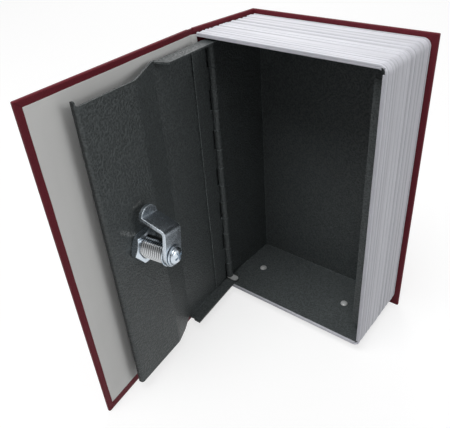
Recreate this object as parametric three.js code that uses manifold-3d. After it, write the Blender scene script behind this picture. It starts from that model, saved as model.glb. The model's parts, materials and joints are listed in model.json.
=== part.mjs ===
// Book diversion safe: a steel cash box with a hinged, cam-locked door inside a hollow hardback book.
// Millimetres, +Z up. While it is built, X runs from the spine to the fore-edge, Y from the front of
// the closed book to its back and Z from its foot to its head, from the page block's front foot corner
// at the spine. The last lines move the origin under the middle of the open book.
import * as THREE from "three";
import { mergeVertices } from "three/addons/utils/BufferGeometryUtils.js";
import Module from "manifold-3d";

const wasm = await Module();
wasm.setup();

// Page block, which is a ribbed shell round three sides of the steel box
const block_height = 172;
const block_width = 110.3;
const block_depth = 52;
const shell_wall = 1.2;
const shell_corner = 4.5;
const shell_spine_gap = 1.3;
const shell_pocket_depth = 0.5;
const page_rib_pitch = 3;
const page_groove_depth = 0.4;
const page_crest_shares = [0.62, 0.48, 0.7, 0.55, 0.66, 0.44, 0.58];
const page_bevel_share = 0.12;
const front_rim_thickness = 0.8;
const rim_notch_width = 1;
const rim_notch_height = 2.2;
const rim_notch_rise = 0.9;

// Covers
const overhang_foot = 5.4;
const overhang_head = 2.1;
const overhang_edge = 2.8;
const cloth_thickness = 0.25;
const board_thickness = 1.3;
const paper_thickness = 0.15;
const turn_in_width = 9;
const paper_border = 3;
const paper_foot_border = 5.2;
const gutter_width = 3;
const gutter_thickness = 0.4;
const gutter_gap = 0.3;
const cover_open_deg = 81.4;

// Fits
const glue_line = 0.08;
const seat_gap = 0.1;
const turned_gap = 0.3;
const running_gap = 0.4;
const overrun = 1;

// Steel box
const tray_sheet = 0.9;
const tray_corner = 2.1;
const tray_spine_gap = 3.9;

// Strike strip behind which the cam locks
const strike_sheet = 0.9;
const strike_reach = 7;
const strike_leg = 10;
const strike_end_gap = 7;

// Rivets
const rivet_head_radius = 3.2;
const rivet_head_height = 1.4;
const rivet_shank_radius = 1.6;
const floor_rivet_near_x = 20;
const floor_rivet_far_x = 86;
const floor_rivet_y = 26;
const edge_rivet_spacing = 90;

// Piano hinge
const knuckle_radius = 2.2;
const leaf_sheet = 0.8;
const pin_radius = 1.1;
const knuckle_count = 13;
const knuckle_gap = 0.25;
const hinge_length = 161;
const hinge_foot_gap = 3;
const door_leaf_width = 15;
const box_leaf_width = 14;
const pin_head_radius = 1.8;
const pin_head_height = 0.9;
const pin_tab_reach = 2.5;
const pin_tab_width = 1.4;

// Door, which is a pressed sheet with a set-back free half
const door_sheet = 1;
const door_front_gap = 0.3;
const door_head_gap = 1.2;
const door_flat_width = 44.6;
const door_step_run = 19.3;
const door_recess = 5.9;
const door_free_width = 34.7;
const door_free_drop = 2;
const door_lip = 2.8;
const door_flange_depth = 9.1;
const head_flange_start = 1.5;
const head_flange_slant = 2.8;
const foot_flange_start = 2.9;
const foot_flange_slant = 1.2;
const door_open_deg = 82.6;

// Cam lock
const lock_from_free_edge = 19.9;
const lock_height_on_block = 87.4;
const lock_head_radius = 8.6;
const lock_head_height = 1.8;
const barrel_radius = 5.9;
const barrel_length = 18;
const thread_pitch = 1;
const thread_depth = 0.4;
const nut_across_flats = 16;
const nut_thickness = 3.9;
const nut_turn_deg = 53.5;
const nut_bevel = 0.7;
const plug_radius = 4.2;
const keyway_width = 1.2;
const keyway_height = 5;
const wafer_count = 5;
const wafer_pitch = 2.1;
const wafer_first = 3;
const wafer_thickness = 0.6;
const wafer_width = 5;
const wafer_height = 6.2;
const wafer_window_share = 0.5;
const wafer_lift_shares = [0, 0.5, -0.5, 0.25, -0.25];
const boss_side = 6.8;
const stop_disc_radius = 6.6;
const stop_disc_thickness = 0.8;
const cam_lean_deg = 8.4;
const cam_sheet = 1.8;
const cam_width = 12.2;
const cam_first_bend = 13.6;
const cam_second_bend = 17.6;
const cam_offset = 13.8;
const cam_tip_width = 11.6;
const cam_washer_radius = 5.3;
const cam_washer_thickness = 0.7;
const screw_head_radius = 4.3;
const screw_head_height = 1.9;
const screw_shank_radius = 1.8;
const screw_shank_length = 8;
const screw_slot_width = 1.1;
const screw_slot_length = 5;
const screw_slot_depth = 1;

// Facets on round pieces
const fine_steps = 32;
const plain_steps = 24;
const small_steps = 16;
const corner_steps = 5;

// Sizes that follow from the ones above
const case_foot = -overhang_foot;
const case_head = block_height + overhang_head;
const case_edge = block_width + overhang_edge;
const skin = cloth_thickness + glue_line;
const cover_thickness = 2 * skin + board_thickness + glue_line + paper_thickness;
const spine_thickness = 2 * skin + board_thickness;
const spine_outer = -seat_gap - spine_thickness;
const back_inner = block_depth + seat_gap;
const back_outer = back_inner + cover_thickness;
const tray_foot = shell_wall + seat_gap;
const tray_head = block_height - shell_wall - seat_gap;
const tray_edge = block_width - shell_wall - seat_gap;
const tray_front = front_rim_thickness + seat_gap;
const floor_top = tray_foot + tray_sheet;
const ceiling = tray_head - tray_sheet;
const edge_wall = tray_edge - tray_sheet;
const spine_wall = tray_spine_gap + tray_sheet;
const back_wall = block_depth - tray_sheet;
const pin_x = spine_wall + seat_gap + knuckle_radius;
const door_inner = door_front_gap + door_sheet;
const pin_y = door_inner + turned_gap + knuckle_radius;
const door_foot = floor_top + running_gap;
const door_head = ceiling - door_head_gap;
const door_start = pin_x + turned_gap;
const step_start = door_start + door_flat_width;
const step_end = step_start + door_step_run;
const door_free_edge = step_end + door_free_width;
const recess_outer = door_front_gap + door_recess;
const recess_inner = recess_outer + door_sheet;
const strike_face = recess_inner + 2 * running_gap;
const hinge_foot = floor_top + hinge_foot_gap;
const bore_radius = pin_radius + turned_gap;
const lock_x = door_free_edge - lock_from_free_edge;
const barrel_end = recess_outer - turned_gap + barrel_length;
const pocket_end = block_width - shell_wall + shell_pocket_depth;
const cam_length = pocket_end - running_gap - lock_x;
const cover_pivot = new THREE.Vector2(-seat_gap - spine_thickness / 2, -cover_thickness / 2);
const front_inner = -glue_line;
const front_outer = front_inner - cover_thickness;

// Solids are welded to positions only, without the slivers that a pole or an axis leaves
function to_solid(geometry) {
  geometry.deleteAttribute("normal");
  geometry.deleteAttribute("uv");
  const welded = mergeVertices(geometry);
  const corners = welded.index.array;
  const kept = [];
  for (let i = 0; i < corners.length; i += 3) {
    const [a, b, c] = corners.slice(i, i + 3);
    if (a !== b && b !== c && c !== a) kept.push(a, b, c);
  }
  const mesh = new wasm.Mesh({
    numProp: 3,
    vertProperties: new Float32Array(welded.attributes.position.array),
    triVerts: new Uint32Array(kept),
  });
  return new wasm.Manifold(mesh);
}

function to_geometry(solid) {
  const mesh = solid.getMesh();
  const geometry = new THREE.BufferGeometry();
  geometry.setAttribute("position", new THREE.BufferAttribute(mesh.vertProperties, 3));
  geometry.setIndex(new THREE.BufferAttribute(mesh.triVerts, 1));
  geometry.computeVertexNormals();
  return geometry;
}

function block([x0, x1], [y0, y1], [z0, z1]) {
  const geometry = new THREE.BoxGeometry(x1 - x0, y1 - y0, z1 - z0);
  geometry.translate((x0 + x1) / 2, (y0 + y1) / 2, (z0 + z1) / 2);
  return to_solid(geometry);
}

function shape_of(points) {
  return new THREE.Shape(points.map(([a, b]) => new THREE.Vector2(a, b)));
}

// An outline in X and Y drawn up from z0 to z1
function upright(points, [z0, z1]) {
  const geometry = new THREE.ExtrudeGeometry(shape_of(points), { depth: z1 - z0, bevelEnabled: false });
  geometry.translate(0, 0, z0);
  return to_solid(geometry);
}

// An outline in X and Z drawn back from y0 to y1
function backward(points, [y0, y1]) {
  const geometry = new THREE.ExtrudeGeometry(shape_of(points), { depth: y1 - y0, bevelEnabled: false });
  geometry.rotateX(Math.PI / 2);
  geometry.translate(0, y1, 0);
  return to_solid(geometry);
}

// A profile of radius and place, turned round the Y direction at x, z
function turned(profile, steps, x, z) {
  const points = profile.map(([radius, along]) => new THREE.Vector2(radius, along));
  const geometry = new THREE.LatheGeometry(points, steps);
  geometry.translate(x, 0, z);
  return to_solid(geometry);
}

// The same, turned round the Z direction at x, y, with its places measured up
function turned_upright(profile, steps, x, y) {
  const points = profile.map(([radius, along]) => new THREE.Vector2(radius, along));
  const geometry = new THREE.LatheGeometry(points, steps);
  geometry.rotateX(Math.PI / 2);
  geometry.translate(x, y, 0);
  return to_solid(geometry);
}

function disc_profile(radius, from, to) {
  return [[0, from], [radius, from], [radius, to], [0, to]];
}

function ring_profile(inner, outer, from, to) {
  return [[inner, from], [outer, from], [outer, to], [inner, to], [inner, from]];
}

function arc(centre_a, centre_b, radius, from_deg, to_deg, steps) {
  const points = [];
  for (let i = 0; i <= steps; i++) {
    const angle = THREE.MathUtils.degToRad(from_deg + ((to_deg - from_deg) * i) / steps);
    points.push([centre_a + radius * Math.cos(angle), centre_b + radius * Math.sin(angle)]);
  }
  return points;
}

// The outline of a bent sheet whose middle runs along a line of points
function bent_sheet(line, thickness) {
  const path = line.map(([a, b]) => new THREE.Vector2(a, b));
  const near = [];
  const far = [];
  path.forEach((point, i) => {
    const last = path.length - 1;
    const into = path[Math.max(i, 1)].clone().sub(path[Math.max(i, 1) - 1]).normalize();
    const out = path[Math.min(i, last - 1) + 1].clone().sub(path[Math.min(i, last - 1)]).normalize();
    const along = into.clone().add(out).normalize();
    const side = new THREE.Vector2(-along.y, along.x);
    const reach = thickness / 2 / along.dot(into);
    near.push([point.x - side.x * reach, point.y - side.y * reach]);
    far.push([point.x + side.x * reach, point.y + side.y * reach]);
  });
  return [...near, ...far.reverse()];
}

// Colours and finishes
const binding_cloth = { color: 0x6b1f2c, roughness: 0.75, metalness: 0 };
const grey_board = { color: 0x8c8478, roughness: 0.95, metalness: 0 };
const end_paper = { color: 0xc9c8c2, roughness: 0.9, metalness: 0 };
const white_pages = { color: 0xdcdde2, roughness: 0.6, metalness: 0 };
const hammered_paint = { color: 0x3c4041, roughness: 0.45, metalness: 0.3 };
const zinc_plate = { color: 0xb9bdc2, roughness: 0.3, metalness: 1 };
const bright_chrome = { color: 0xd7dade, roughness: 0.15, metalness: 1 };
const lock_brass = { color: 0xb79a55, roughness: 0.35, metalness: 1 };
const rivet_metal = { color: 0xc3c4c2, roughness: 0.45, metalness: 0.8 };

function piece(name, solid, finish) {
  const mesh = new THREE.Mesh(to_geometry(solid), new THREE.MeshStandardMaterial(finish));
  mesh.name = name;
  return mesh;
}

// Page shell: head, fore-edge and foot in one sheet with a ribbed outside and a rim turned in at the front

function page_section() {
  const rim_reach = -(seat_gap + tray_sheet);
  const points = [[0, rim_reach], [front_rim_thickness, rim_reach], [front_rim_thickness, 0]];
  points.push([block_depth, 0]);
  const ribs = Math.round(block_depth / page_rib_pitch);
  const pitch = block_depth / ribs;
  const bevel = pitch * page_bevel_share;
  const groove = shell_wall - page_groove_depth;
  for (let i = ribs - 1; i >= 0; i--) {
    const start = i * pitch;
    const crest = pitch * page_crest_shares[i % page_crest_shares.length];
    if (i < ribs - 1) points.push([start + pitch - bevel, groove]);
    else points.push([start + pitch, groove]);
    points.push([start + crest + bevel, groove], [start + crest, shell_wall]);
    points.push([start, shell_wall]);
  }
  return points;
}

// Stations along the shell's inside, each with its inner point, outer point and outward direction
function shell_stations() {
  const stations = [];
  const straight = (x, up) => {
    const inner = up > 0 ? block_height - shell_wall : shell_wall;
    stations.push({
      inner: new THREE.Vector2(x, inner),
      outer: new THREE.Vector2(x, inner + up * shell_wall),
      out: new THREE.Vector2(0, up),
    });
  };
  const inner_corner = tray_corner + seat_gap;
  const bend = (up) => {
    for (let i = 0; i <= corner_steps; i++) {
      const turn = (i / corner_steps) * (Math.PI / 2);
      const angle = up > 0 ? Math.PI / 2 - turn : -turn;
      const out = new THREE.Vector2(Math.cos(angle), Math.sin(angle));
      const wall_height = up > 0 ? block_height : 0;
      const place = (radius, wall) => new THREE.Vector2(
        block_width - wall - radius + out.x * radius,
        wall_height - up * (wall + radius) + out.y * radius,
      );
      stations.push({ inner: place(inner_corner, shell_wall), outer: place(shell_corner, 0), out });
    }
  };
  straight(shell_spine_gap, 1);
  bend(1);
  bend(-1);
  straight(shell_spine_gap, -1);
  return stations;
}

function page_shell() {
  const section = page_section();
  const stations = shell_stations();
  const flat_section = section.map(([a, b]) => new THREE.Vector2(a, b));
  const positions = [];
  for (const { inner, outer, out } of stations) {
    for (const [depth, height] of section) {
      const point = height > 0
        ? inner.clone().lerp(outer, height / shell_wall)
        : inner.clone().addScaledVector(out, height);
      positions.push(point.x, depth, point.y);
    }
  }
  const index = [];
  const count = section.length;
  for (let s = 0; s < stations.length - 1; s++) {
    for (let i = 0; i < count; i++) {
      const next = (i + 1) % count;
      const [a, b, c, d] = [s * count + i, s * count + next, (s + 1) * count + next, (s + 1) * count + i];
      index.push(a, b, c, a, c, d);
    }
  }
  const last = (stations.length - 1) * count;
  for (const [a, b, c] of THREE.ShapeUtils.triangulateShape(flat_section, [])) {
    index.push(c, b, a, last + a, last + b, last + c);
  }
  const geometry = new THREE.BufferGeometry();
  geometry.setAttribute("position", new THREE.BufferAttribute(new Float32Array(positions), 3));
  geometry.setIndex(index);
  let shell = to_solid(geometry);
  const notch_x = [edge_wall - overrun, edge_wall + rim_notch_width];
  const notch_y = [-overrun, front_rim_thickness];
  shell = shell.subtract(block(notch_x, notch_y, [ceiling - rim_notch_height, ceiling + rim_notch_rise]));
  shell = shell.subtract(block(notch_x, notch_y, [floor_top - rim_notch_rise, floor_top + rim_notch_height]));
  for (const rivet of rivets()) shell = shell.subtract(rivet_hole(rivet));
  return shell.subtract(cam_slot());
}

// Rivets: where each stands on the box, and which way it goes in

function rivets() {
  const places = [];
  for (const [label, x] of [["near", floor_rivet_near_x], ["far", floor_rivet_far_x]]) {
    places.push({ name: `floor_rivet_${label}`, seat: [x, floor_rivet_y, floor_top], into: [0, 0, -1] });
    places.push({ name: `ceiling_rivet_${label}`, seat: [x, floor_rivet_y, ceiling], into: [0, 0, 1] });
  }
  const strip_seat = edge_wall - seat_gap - strike_sheet;
  const strip_y = strike_face + strike_leg / 2;
  for (const [label, side] of [["lower", -1], ["upper", 1]]) {
    const z = block_height / 2 + (side * edge_rivet_spacing) / 2;
    places.push({ name: `strike_rivet_${label}`, seat: [strip_seat, strip_y, z], into: [1, 0, 0] });
  }
  return places;
}

// A turned profile with its places along the rivet's own direction
function along_rivet({ seat, into }, profile) {
  const points = profile.map(([radius, along]) => new THREE.Vector2(radius, along));
  const geometry = new THREE.LatheGeometry(points, small_steps);
  const [lathe_axis, rivet_axis] = [new THREE.Vector3(0, 1, 0), new THREE.Vector3(...into)];
  geometry.applyQuaternion(new THREE.Quaternion().setFromUnitVectors(lathe_axis, rivet_axis));
  geometry.translate(...seat);
  return to_solid(geometry);
}

// From its seat a shank reaches through the steel into a blind pocket in the shell
function rivet_reach({ into }) {
  const through = tray_sheet + seat_gap + shell_pocket_depth;
  return into[0] > 0 ? through + strike_sheet + seat_gap : through;
}

function rivet_hole(rivet) {
  return along_rivet(rivet, disc_profile(rivet_shank_radius + seat_gap, -seat_gap, rivet_reach(rivet)));
}

function rivet_solid(rivet) {
  const profile = [[0, rivet_reach(rivet) - seat_gap], [rivet_shank_radius, rivet_reach(rivet) - seat_gap]];
  profile.push([rivet_shank_radius, -seat_gap], [rivet_head_radius, -seat_gap]);
  for (let i = 1; i < corner_steps; i++) {
    const angle = (i / corner_steps) * (Math.PI / 2);
    profile.push([rivet_head_radius * Math.cos(angle), -seat_gap - rivet_head_height * Math.sin(angle)]);
  }
  profile.push([0, -seat_gap - rivet_head_height]);
  return along_rivet(rivet, profile.reverse());
}

// Steel box, folded from sheet and open at the front

function box_outline(inset, corner) {
  const [left, right] = [tray_spine_gap + inset, tray_edge - inset];
  const [low, high] = [tray_foot + inset, tray_head - inset];
  return [
    [left, low],
    ...arc(right - corner, low + corner, corner, -90, 0, corner_steps),
    ...arc(right - corner, high - corner, corner, 0, 90, corner_steps),
    [left, high],
  ];
}

function box_tray() {
  let tray = backward(box_outline(0, tray_corner), [tray_front, block_depth]);
  tray = tray.subtract(backward(box_outline(tray_sheet, tray_corner - tray_sheet), [-overrun, back_wall]));
  const wall_cut = [tray_spine_gap - overrun, spine_wall + overrun];
  const wall_front = pin_y + running_gap;
  tray = tray.subtract(block(wall_cut, [-overrun, wall_front], [floor_top, ceiling]));
  for (const rivet of rivets()) tray = tray.subtract(rivet_hole(rivet));
  return tray.subtract(cam_slot());
}

function strike_strip() {
  const outer = edge_wall - seat_gap;
  const line = [
    [outer - strike_reach, strike_face + strike_sheet / 2],
    [outer - strike_sheet / 2, strike_face + strike_sheet / 2],
    [outer - strike_sheet / 2, strike_face + strike_leg],
  ];
  const span = [floor_top + strike_end_gap, ceiling - strike_end_gap];
  let strip = upright(bent_sheet(line, strike_sheet), span);
  for (const rivet of rivets()) strip = strip.subtract(rivet_hole(rivet));
  return strip.subtract(cam_slot());
}

// Piano hinge: knuckles counted up from the foot, odd ones on the door

const knuckle_pitch = hinge_length / knuckle_count;

function knuckle_span(i) {
  const start = hinge_foot + i * knuckle_pitch;
  return [start + knuckle_gap / 2, start + knuckle_pitch - knuckle_gap / 2];
}

function hinge_leaf(on_door) {
  const reach_clear = knuckle_radius + turned_gap;
  const pin_side = on_door ? pin_y - knuckle_radius : pin_x - knuckle_radius;
  const sheet = [pin_side, pin_side + leaf_sheet];
  const leaf_block = (from, span) => on_door
    ? block([pin_x + from, pin_x + door_leaf_width], sheet, span)
    : block(sheet, [pin_y + from, pin_y + box_leaf_width], span);
  let leaf = leaf_block(reach_clear, [knuckle_span(0)[0], knuckle_span(knuckle_count - 1)[1]]);
  for (let i = on_door ? 1 : 0; i < knuckle_count; i += 2) {
    const span = knuckle_span(i);
    leaf = leaf.add(leaf_block(0, span));
    const ring = ring_profile(bore_radius, knuckle_radius, ...span);
    leaf = leaf.add(turned_upright(ring, small_steps, pin_x, pin_y));
  }
  return leaf;
}

function hinge_pin() {
  const head_top = hinge_foot - turned_gap;
  const head_foot = head_top - pin_head_height;
  const top = hinge_foot + hinge_length;
  const pin = turned_upright(disc_profile(pin_radius, head_foot, top), small_steps, pin_x, pin_y);
  const head = turned_upright(disc_profile(pin_head_radius, head_foot, head_top), small_steps, pin_x, pin_y);
  const tab_side = [pin_y - pin_tab_width / 2, pin_y + pin_tab_width / 2];
  return pin.add(head).add(block([pin_x, pin_x + pin_tab_reach], tab_side, [head_foot, head_top]));
}

// Door, drawn shut

function door_flange([z0, z1], from_pin, slant) {
  const start = pin_x + from_pin;
  const depth = door_front_gap + door_flange_depth;
  const front = [[start, door_front_gap], [step_start, door_front_gap]];
  return upright([...front, [step_start + slant, depth], [start, depth]], [z0, z1]);
}

function door_panel() {
  const middle = door_front_gap + door_sheet / 2;
  const recess_middle = recess_outer + door_sheet / 2;
  const edge_middle = door_free_edge - door_sheet / 2;
  const line = [
    [door_start, middle],
    [step_start, middle],
    [step_end, recess_middle],
    [edge_middle, recess_middle],
    [edge_middle, recess_inner - door_lip],
  ];
  const above = [door_head - door_free_drop, door_head + overrun];
  const free_half = [step_start, door_free_edge + overrun];
  let door = upright(bent_sheet(line, door_sheet), [door_foot, door_head]);
  door = door.subtract(block(free_half, [-overrun, recess_inner + overrun], above));
  const foot_sheet = [door_foot, door_foot + door_sheet];
  const head_sheet = [door_head - door_sheet, door_head];
  door = door.add(door_flange(foot_sheet, foot_flange_start, foot_flange_slant));
  door = door.add(door_flange(head_sheet, head_flange_start, -head_flange_slant));
  const lock_hole = disc_profile(barrel_radius + turned_gap, recess_outer - overrun, recess_inner + overrun);
  return door.subtract(turned(lock_hole, fine_steps, lock_x, lock_height_on_block));
}

// Cam lock, drawn with its cam straight up, from its head on the outer face to the screw behind the cam

const head_front = recess_outer - turned_gap - lock_head_height;
const nut_front = recess_inner + turned_gap;
const stop_front = barrel_end + turned_gap;
const cam_front = stop_front + stop_disc_thickness + turned_gap;
const washer_front = cam_front + cam_sheet + turned_gap;
const screw_front = washer_front + cam_washer_thickness + turned_gap;
const boss_end = washer_front - turned_gap;
const cam_tip_front = cam_front - cam_offset;

// The slot in the fore-edge wall that the cam's tip turns down into
function cam_slot() {
  const leg_face = edge_wall - seat_gap - strike_sheet;
  const rise = Math.sqrt(cam_length ** 2 - (leg_face - lock_x) ** 2);
  const foot = lock_height_on_block - cam_tip_width / 2 - running_gap;
  const depth = grown([cam_tip_front, cam_tip_front + cam_sheet], running_gap);
  return block([leg_face - overrun, pocket_end], depth, [foot, lock_height_on_block + rise + running_gap]);
}

function lock_turned(profile, steps = plain_steps) {
  return turned(profile, steps, lock_x, lock_height_on_block);
}

function lock_block(width, [y0, y1], height, lift = 0) {
  const z = lock_height_on_block + lift;
  return block([lock_x - width / 2, lock_x + width / 2], [y0, y1], [z - height / 2, z + height / 2]);
}

function lock_housing() {
  const bore = plug_radius + turned_gap;
  const head_back = recess_outer - turned_gap;
  const rim = lock_head_height / 3;
  const profile = [
    [bore, head_front],
    [lock_head_radius - rim, head_front],
    [lock_head_radius, head_front + rim],
    [lock_head_radius, head_back],
    [barrel_radius - thread_depth, head_back],
  ];
  const turns = Math.floor((barrel_end - nut_front) / thread_pitch);
  for (let i = 0; i < turns; i++) {
    const start = barrel_end - (turns - i) * thread_pitch;
    profile.push([barrel_radius - thread_depth, start], [barrel_radius, start + thread_pitch / 2]);
  }
  profile.push([barrel_radius - thread_depth, barrel_end], [bore, barrel_end], [bore, head_front]);
  return lock_turned(profile);
}

function lock_nut() {
  const corner = nut_across_flats / 2 / Math.cos(Math.PI / 6);
  const hexagon = arc(lock_x, lock_height_on_block, corner, nut_turn_deg, nut_turn_deg + 300, 5);
  const back = nut_front + nut_thickness;
  const nut = backward(hexagon, [nut_front, back]);
  const bevelled = lock_turned([
    [0, nut_front],
    [nut_across_flats / 2, nut_front],
    [corner, nut_front + nut_bevel],
    [corner, back - nut_bevel],
    [nut_across_flats / 2, back],
    [0, back],
  ]);
  const hole = disc_profile(barrel_radius + turned_gap, nut_front - overrun, back + overrun);
  return nut.intersect(bevelled).subtract(lock_turned(hole));
}

function wafer_place(i) {
  const front = head_front + wafer_first + i * wafer_pitch;
  return [front, front + wafer_thickness];
}

function lock_plug() {
  const plug = lock_turned(disc_profile(plug_radius, head_front, barrel_end + 2 * seat_gap));
  let solid = plug.add(lock_block(boss_side, [barrel_end + seat_gap, boss_end], boss_side));
  const last = wafer_place(wafer_count - 1)[1];
  solid = solid.subtract(lock_block(keyway_width, [head_front - overrun, last + turned_gap], keyway_height));
  for (let i = 0; i < wafer_count; i++) {
    const [from, to] = wafer_place(i);
    const slot = [from - seat_gap, to + seat_gap];
    solid = solid.subtract(lock_block(wafer_width + 2 * seat_gap, slot, 2 * plug_radius + overrun));
  }
  const bore_start = screw_front - screw_shank_length - overrun;
  const bore = disc_profile(screw_shank_radius + turned_gap, bore_start, boss_end + overrun);
  return solid.subtract(lock_turned(bore));
}

function lock_wafer(i) {
  const span = wafer_place(i);
  const lift = wafer_lift_shares[i % wafer_lift_shares.length] * wafer_thickness;
  const through = [span[0] - overrun, span[1] + overrun];
  const window_height = wafer_height * wafer_window_share;
  const window_width = wafer_width * wafer_window_share;
  return lock_block(wafer_width, span, wafer_height, lift)
    .subtract(lock_block(window_width, through, window_height, lift));
}

function cam_stop_disc() {
  const back = stop_front + stop_disc_thickness;
  const hole = boss_side + 2 * turned_gap;
  return lock_turned(disc_profile(stop_disc_radius, stop_front, back))
    .subtract(lock_block(hole, [stop_front - overrun, back + overrun], hole));
}

function lock_cam() {
  const half = cam_width / 2;
  const foot = lock_height_on_block - half;
  const base = cam_front + cam_sheet / 2;
  const line = [
    [base, foot],
    [base, lock_height_on_block + cam_first_bend],
    [base - cam_offset, lock_height_on_block + cam_second_bend],
    [base - cam_offset, lock_height_on_block + cam_length],
  ];
  // The side view is drawn in Y and Z across the cam's width
  const side = shape_of(bent_sheet(line, cam_sheet));
  const geometry = new THREE.ExtrudeGeometry(side, { depth: cam_width, bevelEnabled: false });
  geometry.applyMatrix4(new THREE.Matrix4().makeBasis(
    new THREE.Vector3(0, 1, 0),
    new THREE.Vector3(0, 0, 1),
    new THREE.Vector3(1, 0, 0),
  ));
  geometry.translate(lock_x - half, 0, 0);
  const tip_half = cam_tip_width / 2;
  const tip_centre = lock_height_on_block + cam_length - tip_half;
  const outline = [
    ...arc(lock_x, lock_height_on_block, half, 180, 360, plain_steps / 2),
    [lock_x + half, lock_height_on_block + cam_first_bend],
    ...arc(lock_x, tip_centre, tip_half, 0, 180, plain_steps / 2),
    [lock_x - half, lock_height_on_block + cam_first_bend],
  ];
  const reach = [base - cam_offset - cam_sheet, base + cam_sheet];
  const hole = boss_side + 2 * turned_gap;
  return to_solid(geometry)
    .intersect(backward(outline, reach))
    .subtract(lock_block(hole, [cam_front - overrun, cam_front + cam_sheet + overrun], hole));
}

function cam_washer() {
  const hole = screw_shank_radius + turned_gap;
  const back = washer_front + cam_washer_thickness;
  return lock_turned(ring_profile(hole, cam_washer_radius, washer_front, back));
}

function cam_screw() {
  const point = screw_front - screw_shank_length;
  const profile = [[0, point], [screw_shank_radius, point]];
  profile.push([screw_shank_radius, screw_front], [screw_head_radius, screw_front]);
  for (let i = 1; i < corner_steps; i++) {
    const angle = (i / corner_steps) * (Math.PI / 2);
    profile.push([screw_head_radius * Math.cos(angle), screw_front + screw_head_height * Math.sin(angle)]);
  }
  const top = screw_front + screw_head_height;
  profile.push([0, top]);
  const slot = [top - screw_slot_depth, top + overrun];
  return lock_turned(profile)
    .subtract(lock_block(screw_slot_width, slot, screw_slot_length))
    .subtract(lock_block(screw_slot_length, slot, screw_slot_width));
}

// Binding: boards wrapped in cloth that is turned in over their edges, with papers pasted inside

const board_z = [case_foot + skin, case_head - skin];
const paper_z = [case_foot + paper_foot_border, case_head - paper_border];
const open_z = [case_foot + turn_in_width, case_head - turn_in_width];

const spine_front = cover_pivot.y + gutter_thickness / 2 + gutter_gap;
const spine_board_far = spine_outer + skin + board_thickness;
const back_cloth_inner = back_outer - 2 * skin - board_thickness;

function spine_board() {
  return block([spine_outer + skin, spine_board_far], [spine_front + skin, back_inner - glue_line], board_z);
}

function back_board() {
  const outer = back_outer - skin;
  return block([spine_outer + skin, case_edge - skin], [outer - board_thickness, outer], board_z);
}

function grown(range, by) {
  return [range[0] - by, range[1] + by];
}

function case_cloth() {
  const full = [case_foot, case_head];
  const room = grown(board_z, glue_line);
  const spine_room = [spine_outer + cloth_thickness, spine_board_far + glue_line];
  const back_room = [spine_outer + cloth_thickness, case_edge - cloth_thickness];
  const back_depth = [back_cloth_inner + cloth_thickness, back_outer - cloth_thickness];
  const spine_window = [spine_front + turn_in_width, back_cloth_inner];
  const back_window = [back_cloth_inner - overrun, back_depth[0] + overrun];
  return block([spine_outer, -seat_gap], [spine_front, back_outer], full)
    .add(block([spine_outer, case_edge], [back_cloth_inner, back_outer], full))
    .subtract(block(spine_room, [spine_front + cloth_thickness, back_depth[0] + glue_line], room))
    .subtract(block(back_room, back_depth, room))
    .subtract(block([spine_board_far, overrun], spine_window, open_z))
    .subtract(block([spine_board_far, case_edge - turn_in_width], back_window, open_z));
}

function back_endpaper() {
  return block([seat_gap, case_edge - paper_border], [back_inner, back_inner + paper_thickness], paper_z);
}

function front_board() {
  const span = [cover_pivot.x + gutter_width + skin, case_edge - skin];
  const outer = front_outer + skin;
  return block(span, [outer, outer + board_thickness], board_z);
}

function front_cloth() {
  const start = cover_pivot.x + gutter_width;
  const inner = front_outer + 2 * skin + board_thickness;
  const room_x = [start + cloth_thickness, case_edge - cloth_thickness];
  const room_y = [front_outer + cloth_thickness, inner - cloth_thickness];
  const open_x = [start + turn_in_width, case_edge - turn_in_width];
  return block([start, case_edge], [front_outer, inner], [case_foot, case_head])
    .subtract(block(room_x, room_y, grown(board_z, glue_line)))
    .subtract(block(open_x, [room_y[1] - glue_line, inner + overrun], open_z));
}

function front_endpaper() {
  const span = [cover_pivot.x + gutter_width + seat_gap, case_edge - paper_border];
  return block(span, [front_inner - paper_thickness, front_inner], paper_z);
}

function gutter_cloth() {
  const y = cover_pivot.y;
  const end = cover_pivot.x + gutter_width - gutter_gap;
  const sheet = [y - gutter_thickness / 2, y + gutter_thickness / 2];
  return block([cover_pivot.x, end], sheet, [case_foot, case_head]);
}

// A group that turns what was drawn shut about an upright axis
function turned_open(x, y, open_deg, meshes) {
  const hinge = new THREE.Group();
  hinge.position.set(x, y, 0);
  hinge.rotation.z = -THREE.MathUtils.degToRad(open_deg);
  const drawn_shut = new THREE.Group();
  drawn_shut.position.set(-x, -y, 0);
  drawn_shut.add(...meshes);
  hinge.add(drawn_shut);
  return hinge;
}

function wafers() {
  const meshes = [];
  for (let i = 0; i < wafer_count; i++) meshes.push(piece(`lock_wafer_${i + 1}`, lock_wafer(i), lock_brass));
  return meshes;
}

function case_group() {
  const group = new THREE.Group();
  group.add(
    piece("page_shell", page_shell(), white_pages),
    piece("box_tray", box_tray(), hammered_paint),
    piece("strike_strip", strike_strip(), hammered_paint),
    piece("box_hinge_leaf", hinge_leaf(false), hammered_paint),
    piece("hinge_pin", hinge_pin(), zinc_plate),
    piece("spine_board", spine_board(), grey_board),
    piece("back_board", back_board(), grey_board),
    piece("case_cloth", case_cloth(), binding_cloth),
    piece("back_endpaper", back_endpaper(), end_paper),
    ...rivets().map((rivet) => piece(rivet.name, rivet_solid(rivet), rivet_metal)),
  );
  return group;
}

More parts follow.
